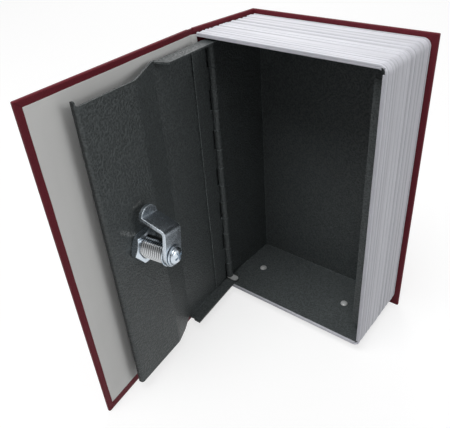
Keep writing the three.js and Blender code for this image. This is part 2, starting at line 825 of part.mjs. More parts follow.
// What turns with the key, leaned a little past upright towards the hinge as the cam stands unlocked
function lock_group() {
  const turning = new THREE.Group();
  turning.position.set(lock_x, 0, lock_height_on_block);
  turning.rotation.y = -THREE.MathUtils.degToRad(cam_lean_deg);
  const drawn_upright = new THREE.Group();
  drawn_upright.position.set(-lock_x, 0, -lock_height_on_block);
  drawn_upright.add(
    piece("lock_plug", lock_plug(), bright_chrome),
    ...wafers(),
    piece("cam_stop_disc", cam_stop_disc(), zinc_plate),
    piece("lock_cam", lock_cam(), zinc_plate),
    piece("cam_washer", cam_washer(), zinc_plate),
    piece("cam_screw", cam_screw(), zinc_plate),
  );
  turning.add(drawn_upright);
  return turning;
}

function door_group() {
  return turned_open(pin_x, pin_y, door_open_deg, [
    piece("door_panel", door_panel(), hammered_paint),
    piece("door_hinge_leaf", hinge_leaf(true), hammered_paint),
    piece("lock_housing", lock_housing(), bright_chrome),
    piece("lock_nut", lock_nut(), zinc_plate),
    lock_group(),
  ]);
}

function cover_group() {
  return turned_open(cover_pivot.x, cover_pivot.y, cover_open_deg, [
    piece("gutter_cloth", gutter_cloth(), binding_cloth),
    piece("front_board", front_board(), grey_board),
    piece("front_cloth", front_cloth(), binding_cloth),
    piece("front_endpaper", front_endpaper(), end_paper),
  ]);
}

const book_safe = new THREE.Group();
book_safe.add(case_group(), door_group(), cover_group());
book_safe.updateMatrixWorld(true);
const extent = new THREE.Box3().setFromObject(book_safe, true);
const middle = extent.getCenter(new THREE.Vector3());
book_safe.position.set(-middle.x, -middle.y, -extent.min.z);
book_safe.updateMatrixWorld(true);

export default book_safe;
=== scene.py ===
"""Looks of an opened book safe: a hollow hardback with a steel cash box, a hinged door and a cam lock."""

import json
import math

import bmesh
import bpy
from bpy.props import FloatProperty, FloatVectorProperty, IntProperty, PointerProperty
from mathutils import Matrix, Vector, noise


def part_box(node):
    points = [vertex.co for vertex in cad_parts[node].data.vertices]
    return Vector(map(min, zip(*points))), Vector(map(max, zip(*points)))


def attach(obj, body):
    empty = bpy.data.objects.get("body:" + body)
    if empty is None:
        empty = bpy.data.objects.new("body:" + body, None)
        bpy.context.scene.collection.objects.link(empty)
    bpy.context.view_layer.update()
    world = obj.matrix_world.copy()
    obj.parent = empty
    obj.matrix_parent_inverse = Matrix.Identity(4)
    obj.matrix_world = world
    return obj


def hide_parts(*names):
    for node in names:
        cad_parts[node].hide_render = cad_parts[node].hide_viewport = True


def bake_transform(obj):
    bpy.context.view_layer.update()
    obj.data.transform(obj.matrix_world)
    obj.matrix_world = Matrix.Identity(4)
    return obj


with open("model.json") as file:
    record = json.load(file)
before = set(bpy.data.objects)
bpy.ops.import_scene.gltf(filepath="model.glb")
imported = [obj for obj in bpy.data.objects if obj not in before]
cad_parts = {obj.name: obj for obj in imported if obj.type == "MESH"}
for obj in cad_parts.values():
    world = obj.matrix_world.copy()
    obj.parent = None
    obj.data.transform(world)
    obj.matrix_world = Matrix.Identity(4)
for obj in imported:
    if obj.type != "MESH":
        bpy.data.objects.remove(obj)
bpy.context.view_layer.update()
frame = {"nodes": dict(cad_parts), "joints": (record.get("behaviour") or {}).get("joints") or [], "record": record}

bl_info = {
    "name": "Book safe",
    "version": (1, 0, 0),
    "blender": (4, 5, 0),
    "location": "3D View > Sidebar > Book safe",
    "description": "Makes the pages, covers, steel box, door and lock of a book safe",
    "category": "Add Mesh",
}

MM = 0.001
FINISH = "finish_"
# Finishes whose rounded edges get a lighter copy as a painted highlight, and that lighter copy
EDGE_HIGHLIGHTS = {"hammered_steel": "hammered_edge", "zinc_steel": "zinc_edge"}
# The mesh attribute that tells the finishes where to paint shade, from 0 to 1
PAINTED_SHADE = "groove"
WELD = 0.0005 * MM
# The share of its thickness that pasted cloth or paper keeps
PRESSED = 0.8
# Streaks where the cam has rubbed the paint: each end's place aside and up from the lock,
# and half the streak's width
SCUFFS = (
    ((0.6 * MM, 21.8 * MM), (-4 * MM, 22.3 * MM), 1.2 * MM),
    ((11 * MM, 13.8 * MM), (4 * MM, 8 * MM), 1.7 * MM),
)
SCUFF_SPOTS = 5
# The scuffed sheet's place along Y, from the lock's pivot
LOCK_TO_SHEET = -1.4 * MM
# Lamps: place and width in metres, and the size that holds the power
LAMPS = {
    "overhead": ((0.0, -0.5, 1.4), 1.0, "lamp_watts"),
    "behind": ((-1.1, 1.5, 1.2), 1.1, "back_watts"),
    "side": ((1.5, 0.15, 0.6), 0.8, "fill_watts"),
}
SHARP_ANGLE = math.radians(34)
FLAT_ANGLE = math.radians(1)


# Places that come from the fixed frame

def joint(name):
    return next(j for j in frame["joints"] if j["name"] == name)


def opened(pivot, axis, degrees):
    """Turns what is drawn shut to where it stands open."""
    turn = Matrix.Rotation(math.radians(degrees), 4, Vector(axis))
    return Matrix.Translation(pivot) @ turn @ Matrix.Translation(-Vector(pivot))


DOOR_JOINT = joint("door_swing")
COVER_JOINT = joint("gutter_swing")
LOCK_JOINT = joint("lock_turn")
COVER_RATIO = frame["record"]["behaviour"]["couplings"][0]["ratio"]
DOOR_OPEN_DEG = -DOOR_JOINT["range_deg"][0]
DOOR_OPEN = opened(Vector(DOOR_JOINT["pos_m"]), DOOR_JOINT["axis"], DOOR_OPEN_DEG)
COVER_OPEN = opened(Vector(COVER_JOINT["pos_m"]), COVER_JOINT["axis"], DOOR_OPEN_DEG * COVER_RATIO)
LOCK_AXIS = DOOR_OPEN.inverted() @ Vector(LOCK_JOINT["pos_m"])
QUARTER_TURN_DEG = 90
CAM_LEAN = opened(LOCK_AXIS, (0, -1, 0), LOCK_JOINT["range_deg"][1] - QUARTER_TURN_DEG)
LOCK_OPEN = DOOR_OPEN @ CAM_LEAN
LOCK_OPEN_LINE = (Vector(LOCK_JOINT["pos_m"]), Vector(LOCK_JOINT["axis"]).normalized())


def shut_box(node, opening):
    """Lowest and highest corners of a node when its door or cover is shut."""
    back = opening.inverted()
    points = [back @ v.co for v in frame["nodes"][node].data.vertices]
    low = Vector(min(p[i] for p in points) for i in range(3))
    high = Vector(max(p[i] for p in points) for i in range(3))
    return low, high


# Sizes and colours that a user would change

def number(name, description, value, **kind):
    return FloatProperty(name=name, description=description, default=value, **kind)


def whole(name, description, value):
    return IntProperty(name=name, description=description, default=value)


def length(name, description, millimetres):
    return number(name, description, millimetres * MM, unit="LENGTH")


def angle(name, description, radians):
    return number(name, description, radians, subtype="ANGLE")


def colour(name, description, value):
    return FloatVectorProperty(name=name, description=description, default=value, subtype="COLOR")


class PageSizes(bpy.types.PropertyGroup):
    wall: length("Wall", "Thickness of the moulded page block", 1.2)
    rim_width: length("Rim width", "How far the front rim reaches inwards", 2.2)
    rim_depth: length("Rim depth", "Thickness of the front rim", 0.8)
    corner: length("Corner", "Outer radius of the page block's corners", 4.5)
    ridge_pitch: length("Ridge pitch", "Usual distance between two ridges of pages", 3.7)
    groove_depth: length("Groove depth", "Depth of the grooves between the ridges", 0.75)
    scallop: length("Scallop", "How far the cut ends run in and out against the spine", 1.2)
    notch_width: length("Notch width", "Width of the small cut in each rim corner", 2)
    notch_height: length("Notch height", "Height of the small cut in each rim corner", 3.1)


class DoorSizes(bpy.types.PropertyGroup):
    sheet: length("Sheet", "Thickness of the door's steel", 1)
    flat_width: length("Flat width", "Width of the flat half at the hinge", 44.6)
    step_run: length("Step run", "Width of the slope between the two halves", 19.3)
    recess: length("Recess", "How far the free half is set back", 5.9)
    free_drop: length("Free drop", "How much lower the free half's head is", 2)
    lip: length("Lip", "Depth of the lip at the free edge", 2.8)
    bend: length("Bend", "Middle radius of the step's bends", 7)
    tight_bend: length("Tight bend", "Middle radius of the lip's and the flanges' bends", 1.1)
    fold_zone: length("Fold zone", "Strip of the flat half that belongs to each flange", 3)
    head_slant: length("Head slant", "How far the head flange narrows at its end", -2.8)
    foot_slant: length("Foot slant", "How far the foot flange widens at its end", 1.2)
    head_start: length("Head start", "Where the head flange begins, from the pin", 1.5)
    foot_start: length("Foot start", "Where the foot flange begins, from the pin", 2.9)


class HingeSizes(bpy.types.PropertyGroup):
    sheet: length("Sheet", "Thickness of the leaves", 0.8)
    knuckle: length("Knuckle", "Outer radius of the knuckles", 2.2)
    clearance: length("Clearance", "Where a leaf clears the other one's knuckles, beyond the knuckle", 1.3)
    gap: length("Gap", "Gap between two knuckles", 0.25)
    tab_reach: length("Tab reach", "How far the tab at the pin's foot reaches", 4.5)
    knuckles: whole("Knuckles", "Number of knuckles on the pin", 13)


class LockSizes(bpy.types.PropertyGroup):
    head_height: length("Head height", "Thickness of the lock's head", 1.8)
    bore: length("Bore", "Radius of the barrel's bore", 4.5)
    thread_pitch: length("Thread pitch", "Distance between two turns of the thread", 1.2)
    thread_depth: length("Thread depth", "Depth of the thread", 0.6)
    cam_sheet: length("Cam sheet", "Thickness of the cam", 1.8)
    cam_width: length("Cam width", "Width of the cam at the lock", 12.2)
    cam_tip_width: length("Cam tip width", "Width of the cam at its tip", 11.6)
    cam_first_bend: length("First bend", "Height of the cam's first bend over the lock", 13.6)
    cam_second_bend: length("Second bend", "Height of the cam's second bend over the lock", 17.6)
    cam_offset: length("Cam offset", "How far the cam's tip is set towards the door", 13.8)
    boss: length("Boss", "Side of the square that carries the cam", 6.8)
    recess_width: length("Recess width", "Width of the screw's cross recess", 1.15)
    recess_length: length("Recess length", "Length of the screw's cross recess", 5.4)


class CoverSizes(bpy.types.PropertyGroup):
    thickness: length("Thickness", "Board and cloth together", 1.96)
    cloth: length("Cloth", "Thickness of the turned-in cloth", 0.25)
    turn_in: length("Turn-in", "Width of the cloth that is turned in", 9)
    paper: length("Paper", "Thickness of the endpapers", 0.15)
    edge: length("Edge", "Rounding of the covered boards", 0.55)
    hidden_paper: length("Hidden paper", "How far the back paper stays inside the page block", 1.6)
    gutter: length("Gutter", "Width of the cloth between spine and cover", 3)
    gutter_cloth: length("Gutter cloth", "Thickness of the cloth in the gutter", 1.1)
    gutter_inset: length("Gutter inset", "How far the gutter's ends lie inside the cover's", 0.25)


class Finishes(bpy.types.PropertyGroup):
    pages: colour("Pages", "Moulded page block", (0.785, 0.79, 0.855))
    paint: colour("Paint", "Hammered paint", (0.057, 0.064, 0.065))
    cloth: colour("Cloth", "Book cloth", (0.15, 0.019, 0.029))
    paper: colour("Paper", "Endpapers", (0.9, 0.9, 0.885))
    board: colour("Board", "Binder's board", (0.3, 0.27, 0.22))
    zinc: colour("Zinc", "Zinc plate", (0.64, 0.71, 0.78))
    chrome: colour("Chrome", "Chrome plate", (0.74, 0.76, 0.78))
    brass: colour("Brass", "Wafers", (0.62, 0.47, 0.2))
    rivet: colour("Rivet", "Rivet heads", (0.62, 0.63, 0.63))


class StageSizes(bpy.types.PropertyGroup):
    """Camera measures are from the page block's lower front corner at the spine."""

    camera_place: FloatVectorProperty(
        name="Camera place", description="Where the camera stands",
        default=(194.892 * MM, -202.049 * MM, 240.263 * MM), subtype="TRANSLATION",
    )
    azimuth: angle("Azimuth", "Heading of the view", 2.2036)
    elevation: angle("Elevation", "Rise of the view", -0.585)
    roll: angle("Roll", "Roll of the camera", 0.0269)
    focal_px: number("Focal length", "In pixels of the picture", 510.947)
    centre_x_px: number("Centre X", "Of the lens, in pixels", 270.508)
    centre_y_px: number("Centre Y", "Of the lens, in pixels", 213.254)
    width_px: whole("Width", "Of the picture, in pixels", 450)
    height_px: whole("Height", "Of the picture, in pixels", 428)
    block_width: length("Block width", "Width of the page block with its spine gap", 110.3)
    sky: number("Sky", "Even light from all round", 0.29)
    ceiling: number("Ceiling", "How bright the room's ceiling mirrors", 0.36)
    lamp_watts: number("Lamp", "Power of the lamp overhead", 12.8)
    back_watts: number("Back lamp", "Power of the lamp behind", 10.5)
    fill_watts: number("Fill", "Power of the lamp at the side", 4.4)
    floor_grey: number("Floor", "How much light the floor gives back", 0.35)


# Node trees

class Graph:
    """Adds nodes to a tree one at a time, with values and links given by socket."""

    def __init__(self, tree):
        self.tree = tree
        tree.nodes.clear()

    def node(self, kind, values=None, **settings):
        made = self.tree.nodes.new(kind)
        for name, value in settings.items():
            setattr(made, name, value)
        for key, value in (values or {}).items():
            self.feed(made.inputs[key], value)
        return made

    def feed(self, socket, value):
        if isinstance(value, bpy.types.NodeSocket):
            self.tree.links.new(value, socket)
        else:
            socket.default_value = value

    def math(self, operation, *values):
        return self.node("ShaderNodeMath", dict(enumerate(values)), operation=operation).outputs[0]

    def stretch(self, vector, scales):
        values = {"Vector": vector, "Scale": scales}
        return self.node("ShaderNodeMapping", values).outputs["Vector"]

    def noise(self, vector, scale, detail=2.0, roughness=0.5):
        values = {"Vector": vector, "Scale": scale, "Detail": detail, "Roughness": roughness}
        return self.node("ShaderNodeTexNoise", values).outputs["Fac"]

    def cells(self, vector, scale):
        return self.node("ShaderNodeTexVoronoi", {"Vector": vector, "Scale": scale}).outputs

    def ramp(self, value, low, high, start=0.0, end=1.0):
        """A value brought from the range low to high into start to end, and held there."""
        values = {"Value": value, "From Min": low, "From Max": high, "To Min": start, "To Max": end}
        return self.node("ShaderNodeMapRange", values).outputs["Result"]

    def mix(self, factor, first, second):
        """Two colours mixed; 6 and 7 are the node's colour inputs and 2 is its colour output."""
        made = self.node("ShaderNodeMix", {0: factor, 6: first, 7: second}, data_type="RGBA")
        return made.outputs[2]

    def group(self, tree, values):
        made = self.tree.nodes.new("ShaderNodeGroup")
        made.node_tree = tree
        for key, value in values.items():
            self.feed(made.inputs[key], value)
        return made.outputs

    def mottled(self, place, colour, amount, scale):
        values = {"Place": place, "Colour": colour, "Amount": amount, "Scale": scale}
        return self.group(mottle_group(), values)

    def specks(self, place, scale, size, rarity):
        values = {"Place": place, "Scale": scale, "Size": size, "Rarity": rarity}
        return self.group(specks_group(), values)["Mask"]

    def sunk(self):
        """How much painted shade a point gets, from 0 to 1, as marked on the mesh; mostly it is how deep the point
        lies in a groove.
        """
        return self.node("ShaderNodeAttribute", attribute_name=PAINTED_SHADE).outputs["Fac"]


def node_group(name, inputs, outputs):
    """An empty shader group with named sockets, and the graph that fills it."""
    tree = bpy.data.node_groups.new(name, "ShaderNodeTree")
    graph = Graph(tree)
    for label, kind in inputs:
        tree.interface.new_socket(name=label, in_out="INPUT", socket_type=kind)
    for label, kind in outputs:
        tree.interface.new_socket(name=label, in_out="OUTPUT", socket_type=kind)
    return tree, graph, graph.node("NodeGroupInput").outputs, graph.node("NodeGroupOutput").inputs


VECTOR, VALUE, COLOUR = "NodeSocketVector", "NodeSocketFloat", "NodeSocketColor"


def mottle_group():
    """Uneven colour: soft clouds that darken and lighten a base colour."""
    if "Mottle" in bpy.data.node_groups:
        return bpy.data.node_groups["Mottle"]
    inputs = [("Place", VECTOR), ("Colour", COLOUR), ("Amount", VALUE), ("Scale", VALUE)]
    tree, g, given, made = node_group("Mottle", inputs, [("Colour", COLOUR), ("Cloud", VALUE)])
    cloud = g.noise(given["Place"], given["Scale"], 4.0, 0.6)
    shift = g.math("MULTIPLY", g.math("SUBTRACT", cloud, 0.5), given["Amount"])
    values = {"Color": given["Colour"], "Value": g.math("ADD", 1.0, shift)}
    toned = g.node("ShaderNodeHueSaturation", values)
    g.feed(made["Colour"], toned.outputs["Color"])
    g.feed(made["Cloud"], cloud)
    return tree


def specks_group():
    """Small scattered specks, one now and then, as a mask."""
    if "Specks" in bpy.data.node_groups:
        return bpy.data.node_groups["Specks"]
    inputs = [("Place", VECTOR), ("Scale", VALUE), ("Size", VALUE), ("Rarity", VALUE)]
    tree, g, given, made = node_group("Specks", inputs, [("Mask", VALUE)])
    cell = g.cells(given["Place"], given["Scale"])
    near = g.math("LESS_THAN", cell["Distance"], given["Size"])
    split = g.node("ShaderNodeSeparateColor", {"Color": cell["Color"]})
    chosen = g.math("GREATER_THAN", split.outputs[0], given["Rarity"])
    g.feed(made["Mask"], g.math("MULTIPLY", near, chosen))
    return tree


def hairlines_group():
    """Fine scratches and tumbling marks of plated metal."""
    if "Hairlines" in bpy.data.node_groups:
        return bpy.data.node_groups["Hairlines"]
    inputs = [("Place", VECTOR), ("Scale", VALUE)]
    tree, g, given, made = node_group("Hairlines", inputs, [("Mark", VALUE), ("Blotch", VALUE)])
    scaled = g.node("ShaderNodeVectorMath", {0: given["Place"], 3: given["Scale"]}, operation="SCALE")
    lines = g.noise(g.stretch(scaled.outputs["Vector"], (1.0, 9.0, 1.0)), 1.0, 5.0, 0.7)
    across = g.noise(g.stretch(scaled.outputs["Vector"], (7.0, 1.0, 2.0)), 1.0, 4.0, 0.65)
    g.feed(made["Mark"], g.math("MULTIPLY", lines, across))
    g.feed(made["Blotch"], g.noise(scaled.outputs["Vector"], 0.35, 3.0))
    return tree


def tint(base, factor=1.0, lift=0.0):
    """A colour made lighter or darker, as a shader's socket takes it."""
    return (*(min(1.0, c * factor + lift) for c in base), 1.0)


def material(name, base, roughness, metallic=0.0, **fixed):
    """A named finish: its graph, its place coordinates and its surface shader's sockets."""
    made = bpy.data.materials.new(FINISH + name)
    made.use_nodes = True
    g = Graph(made.node_tree)
    values = {"Base Color": tint(base), "Roughness": roughness, "Metallic": metallic}
    values |= {label.replace("_", " "): value for label, value in fixed.items()}
    surface = g.node("ShaderNodeBsdfPrincipled", values)
    g.node("ShaderNodeOutputMaterial", {"Surface": surface.outputs["BSDF"]})
    return g, g.node("ShaderNodeTexCoord").outputs["Object"], surface.inputs


def dress(g, surface, colour, gloss, height, depth, strength):
    """Feeds a surface its colour, its roughness and its bumps."""
    g.feed(surface["Base Color"], colour)
    g.feed(surface["Roughness"], gloss)
    values = {"Height": height, "Distance": depth, "Strength": strength}
    g.feed(surface["Normal"], g.node("ShaderNodeBump", values).outputs["Normal"])


def page_plastic(base):
    g, place, surface = material("page_plastic", base, 0.48)
    leaves = g.noise(g.stretch(place, (12.0, 2600.0, 12.0)), 1.0, 3.0, 0.6)
    folds = g.noise(g.stretch(place, (20.0, 500.0, 20.0)), 1.0, 2.0)
    lined = g.mix(g.ramp(leaves, 0.62, 0.42), tint(base), tint(base, 0.86))
    # Painted shade: points deep in the grooves between the ridges are painted darker
    lined = g.mix(g.math("MULTIPLY", g.sunk(), 0.8), lined, tint(base, 0.42))
    colour = g.mottled(place, lined, 0.06, 40.0)["Colour"]
    gloss = g.ramp(folds, 0.3, 0.7, 0.42, 0.55)
    dress(g, surface, colour, gloss, g.math("ADD", leaves, folds), 0.09 * MM, 0.8)


def scuffed(g, place):
    """A mask of the streaks on the door, each made of a few round spots."""
    mask = 0.0
    for first, last, reach in SCUFFS:
        for i in range(SCUFF_SPOTS):
            aside, up = Vector(first).lerp(Vector(last), i / (SCUFF_SPOTS - 1))
            spot = DOOR_OPEN @ (LOCK_AXIS + Vector((aside, LOCK_TO_SHEET, up)))
            away = g.node("ShaderNodeVectorMath", {0: place, 1: spot}, operation="DISTANCE")
            mask = g.math("MAXIMUM", mask, g.ramp(away.outputs["Value"], reach, reach * 0.3))
    return mask


def hammered_steel(name, paint):
    """Dimpled paint with some dust, the streaks that the cam rubbed, painted glints on the dimples' crests and
    painted shade where the mesh is marked.
    """
    g, place, surface = material(name, paint, 0.36, Specular_IOR_Level=0.22)
    warp = g.node("ShaderNodeTexNoise", {"Vector": place, "Scale": 450.0, "Detail": 1.0})
    shift = 1.1 * MM
    values = {0: warp.outputs["Color"], 1: (shift,) * 3, 2: place}
    warped = g.node("ShaderNodeVectorMath", values, operation="MULTIPLY_ADD").outputs["Vector"]
    values = {"Vector": warped, "Scale": 980.0, "Smoothness": 0.5}
    dimples = g.node("ShaderNodeTexVoronoi", values, feature="SMOOTH_F1").outputs["Distance"]
    toned = g.mottled(place, tint(paint), 0.22, 70.0)
    # The dimples' crests are painted lighter: partly the paint's own pattern, partly painted glints
    hammered_and_glints = g.mix(g.ramp(dimples, 0.2, 0.7, 0.0, 0.8), toned["Colour"], tint(paint, 2.0))
    dust = g.math("MULTIPLY", g.specks(place, 260.0, 0.09, 0.93), 0.5)
    dusty = g.mix(dust, hammered_and_glints, tint(paint, 2.6))
    patches = g.ramp(g.noise(place, 1400.0, 3.0), 0.42, 0.6, 0.0, 0.9)
    rubbed = (0.36, 0.37, 0.37, 1.0)
    worn = g.mix(g.math("MULTIPLY", scuffed(g, place), patches), dusty, rubbed)
    # Painted shade: the places marked on the mesh, such as the door lip's outer face, are painted darker
    colour = g.mix(g.sunk(), worn, tint(paint, 0.25))
    gloss = g.ramp(toned["Cloud"], 0.3, 0.7, 0.32, 0.44)
    peel = g.math("MULTIPLY", g.noise(place, 1900.0, 2.0), 0.25)
    dress(g, surface, colour, gloss, g.math("ADD", dimples, peel), 0.4 * MM, 1.0)


def binding_cloth(base):
    g, place, surface = material("binding_cloth", base, 0.6, Specular_IOR_Level=0.15)
    pebbles = g.cells(place, 1500.0)["Distance"]
    toned = g.mottled(place, tint(base), 0.3, 55.0)
    grained = g.mix(g.ramp(pebbles, 0.55, 0.05, 0.0, 0.4), toned["Colour"], tint(base, 1.55))
    lint = g.math("MULTIPLY", g.specks(place, 420.0, 0.1, 0.95), 0.5)
    colour = g.mix(lint, grained, tint(base, 0.5, 0.12))
    gloss = g.ramp(toned["Cloud"], 0.3, 0.7, 0.46, 0.62)
    threads = g.math("MULTIPLY", g.noise(place, 3600.0, 2.0), 0.4)
    dress(g, surface, colour, gloss, g.math("SUBTRACT", threads, pebbles), 0.1 * MM, 0.7)


def endpaper(base):
    dull = 0.85
    g, place, surface = material("endpaper", base, dull)
    toned = g.mottled(place, tint(base), 0.1, 30.0)["Colour"]
    specks = g.math("MULTIPLY", g.specks(place, 85.0, 0.045, 0.72), 0.7)
    stain = (0.42, 0.38, 0.33, 1.0)
    fibres = g.noise(g.stretch(place, (900.0, 900.0, 2200.0)), 1.0, 4.0, 0.6)
    height = g.math("ADD", g.math("MULTIPLY", fibres, 0.2), g.noise(place, 45.0, 2.0))
    dress(g, surface, g.mix(specks, toned, stain), dull, height, 0.25 * MM, 0.5)


def binders_board(base):
    dull = 0.9
    g, place, surface = material("binders_board", base, dull)
    colour = g.mottled(place, tint(base), 0.35, 350.0)["Colour"]
    dress(g, surface, colour, dull, g.noise(place, 1500.0, 3.0), 0.08 * MM, 0.6)


def plated(name, base, low, high, scale, metallic=1.0):
    """A plated or plain metal with hairlines; its roughness runs from low to high."""
    g, place, surface = material(name, base, low, metallic)
    marks = g.group(hairlines_group(), {"Place": place, "Scale": scale})
    toned = g.mottled(place, tint(base), 0.1, scale * 0.5)["Colour"]
    # Painted shade: the places marked on the mesh, such as the thread's roots, are painted darker
    colour = g.mix(g.sunk(), toned, tint(base, 0.12))
    blotch = g.math("MULTIPLY", marks["Blotch"], 0.5)
    worn = g.math("ADD", g.math("MULTIPLY", marks["Mark"], 0.7), blotch)
    dress(g, surface, colour, g.ramp(worn, 0.2, 0.7, low, high), marks["Mark"], 0.004 * MM, 0.4)


class BOOKSAFE_OT_finishes(bpy.types.Operator):
    """Every finish once, most of them named as the record's material slots are"""

    bl_idname = "book_safe.finishes"
    bl_label = "Finishes"

    def execute(self, context):
        colours = context.scene.book_safe_finishes
        page_plastic(colours.pages)
        hammered_steel("hammered_steel", colours.paint)
        # A lighter copy of the paint for rounded edges: painted highlight
        hammered_steel("hammered_edge", tint(colours.paint, 3.2)[:3])
        binding_cloth(colours.cloth)
        endpaper(colours.paper)
        binders_board(colours.board)
        plated("zinc_steel", colours.zinc, 0.22, 0.32, 700.0)
        # A lighter, less metallic copy of the zinc for rounded edges: painted highlight
        plated("zinc_edge", tint(colours.zinc, 1.3)[:3], 0.22, 0.32, 700.0, 0.6)
        plated("lock_chrome", colours.chrome, 0.08, 0.2, 500.0)
        plated("wafer_brass", colours.brass, 0.25, 0.4, 900.0)
        plated("rivet_alloy", colours.rivet, 0.5, 0.62, 800.0, 0.25)
        return {"FINISHED"}


# Meshes

def cleaned(mesh):
    """Welds what meets and turns every face outwards."""
    bm = bmesh.new()
    bm.from_mesh(mesh)
    bmesh.ops.remove_doubles(bm, verts=bm.verts, dist=WELD)
    bmesh.ops.recalc_face_normals(bm, faces=bm.faces)
    bm.to_mesh(mesh)
    bm.free()
    return mesh


def new_mesh(points, faces, place=None):
    mesh = bpy.data.meshes.new("made")
    mesh.from_pydata([tuple(p) for p in points], [], faces)
    if place is not None:
        mesh.transform(place)
    return cleaned(mesh)


def joined(meshes):
    """Several meshes as one."""
    points, faces = [], []
    for mesh in meshes:
        start = len(points)
        points += [v.co.copy() for v in mesh.vertices]
        faces += [[start + i for i in p.vertices] for p in mesh.polygons]
        bpy.data.meshes.remove(mesh)
    return new_mesh(points, faces)


def strips(rows, count, round_rows=True, round_points=True):
    """Faces between rows of points; the last row, or each row's last point, may meet the first."""
    faces = []
    for i in range(rows if round_rows else rows - 1):
        a, b = i * count, (i + 1) % rows * count
        for k in range(count if round_points else count - 1):
            n = (k + 1) % count
            faces.append((a + k, b + k, b + n, a + n))
    return faces


def prism(outline, first, last, to_space):
    """A flat outline drawn out from one place to another."""
    points = [to_space(*spot, across) for across in (first, last) for spot in outline]
    count = len(outline)
    faces = [tuple(range(count)), tuple(range(count, 2 * count))]
    return new_mesh(points, faces + strips(2, count, round_rows=False))


def block_mesh(low, high):
    corners = [(low.x, low.y), (high.x, low.y), (high.x, high.y), (low.x, high.y)]
    return prism(corners, low.z, high.z, flat_plan)


def new_object(name, data):
    """An object in the scene that shows a mesh, a lamp or a camera."""
    made = bpy.data.objects.new(name, data)
    bpy.context.scene.collection.objects.link(made)
    return made


def carved(mesh, cutters):
    """A mesh with other closed meshes cut out of it."""
    body = new_object("body", mesh)
    tools = [new_object("tool", cutter) for cutter in cutters]
    for tool in tools:
        cut = body.modifiers.new("Cut", "BOOLEAN")
        cut.operation, cut.solver, cut.object = "DIFFERENCE", "EXACT", tool
    graph = bpy.context.evaluated_depsgraph_get()
    made = bpy.data.meshes.new_from_object(body.evaluated_get(graph))
    for leftover in (body, *tools):
        bpy.data.objects.remove(leftover)
    return cleaned(made)


def add_piece(name, mesh, finish, body, nodes=(), edge=0.0, segments=2):
    """Puts a mesh into the scene as a piece that rides on a body, if one is named.

    It stands for CAD nodes. Its sharp edges are rounded by edge, and get the finish's lighter copy as a painted
    highlight where the finish has one.
    """
    mesh.name = name
    mesh.materials.clear()
    mesh.materials.append(bpy.data.materials[FINISH + finish])
    mesh.shade_smooth()
    mesh.set_sharp_from_angle(angle=SHARP_ANGLE)
    piece = new_object(name, mesh)
    if edge:
        rounding = piece.modifiers.new("Rounding", "BEVEL")
        rounding.width, rounding.segments = edge, segments
        rounding.limit_method, rounding.angle_limit = "ANGLE", SHARP_ANGLE
        rounding.harden_normals = True
        # The rounded edges take the finish's lighter copy: painted highlight
        if finish in EDGE_HIGHLIGHTS:
            mesh.materials.append(bpy.data.materials[FINISH + EDGE_HIGHLIGHTS[finish]])
            rounding.material = 1
    if body:
        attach(piece, body)
    if nodes:
        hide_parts(*nodes)
    return piece


def mark_painted_shade(mesh, painted_shade_at):
    """Writes down how much painted shade each point gets, from 0 to 1, for the finish to darken; mostly it is how
    deep the point lies in a groove.
    """
    marks = mesh.attributes.new(PAINTED_SHADE, "FLOAT", "POINT")
    for vertex, mark in zip(mesh.vertices, marks.data):
        mark.value = min(1.0, max(0.0, painted_shade_at(vertex.co)))


def solid_copy(node):
    """A CAD node's solid with its flat faces joined up."""
    data = frame["nodes"][node].data
    mesh = new_mesh([v.co for v in data.vertices], [list(p.vertices) for p in data.polygons])
    bm = bmesh.new()
    bm.from_mesh(mesh)
    bmesh.ops.dissolve_limit(bm, angle_limit=FLAT_ANGLE, verts=bm.verts, edges=bm.edges)
    bm.to_mesh(mesh)
    bm.free()
    return mesh


def rounded_line(corners, radii, steps):
    """A flat line through corners, each bend rounded with its own radius."""
    corners = [Vector(c) for c in corners]
    line = [corners[0]]
    for before, here, after, radius in zip(corners, corners[1:], corners[2:], radii):
        into, out = (before - here).normalized(), (after - here).normalized()
        half = into.angle(out) / 2
        shorter = min((before - here).length, (after - here).length)
        reach = min(radius / math.tan(half), 0.48 * shorter)
        start, end = here + into * reach, here + out * reach
        for i in range(steps + 1):
            t = i / steps
            # The quadratic curve keeps close to the round bend of a folded sheet
            line.append(start * (1 - t) ** 2 + here * 2 * t * (1 - t) + end * t ** 2)
    return line + [corners[-1]]


def line_normals(line):
    """Sideways unit steps at each point of a flat line, lengthened at its corners."""
    normals = []
    for i, here in enumerate(line):
        before = (here - line[i - 1]).normalized() if i else None
        after = (line[i + 1] - here).normalized() if i + 1 < len(line) else None
        before, after = before or after, after or before
        along = (before + after).normalized()
        normal = Vector((-along.y, along.x))
        side = Vector((-after.y, after.x))
        normals.append(normal / max(0.5, normal.dot(side)))
    return normals


def bent_sheet(line, thickness, spans, to_space, open_sides=()):
    """A sheet along a flat line, drawn out between one span for all, or a list of one for each point.

    to_space turns a point of the line and a place across it into a point of the shut model.
    open_sides leaves out the faces where another sheet goes on: "start", "end", "low" or "high".
    """
    if isinstance(spans, tuple):
        spans = [spans] * len(line)
    points, faces = [], []
    for here, normal, (low, high) in zip(line, line_normals(line), spans):
        for side in (-0.5, 0.5):
            flat = here + normal * thickness * side
            points += [to_space(flat.x, flat.y, low), to_space(flat.x, flat.y, high)]
    last = 4 * (len(line) - 1)
    for i in range(len(line) - 1):
        a, b = 4 * i, 4 * (i + 1)
        faces += [(a, a + 1, b + 1, b), (a + 2, b + 2, b + 3, a + 3)]
        if "low" not in open_sides:
            faces.append((a, b, b + 2, a + 2))
        if "high" not in open_sides:
            faces.append((a + 1, a + 3, b + 3, b + 1))
    if "start" not in open_sides:
        faces.append((0, 2, 3, 1))
    if "end" not in open_sides:
        faces.append((last, last + 1, last + 3, last + 2))
    return new_mesh(points, faces)


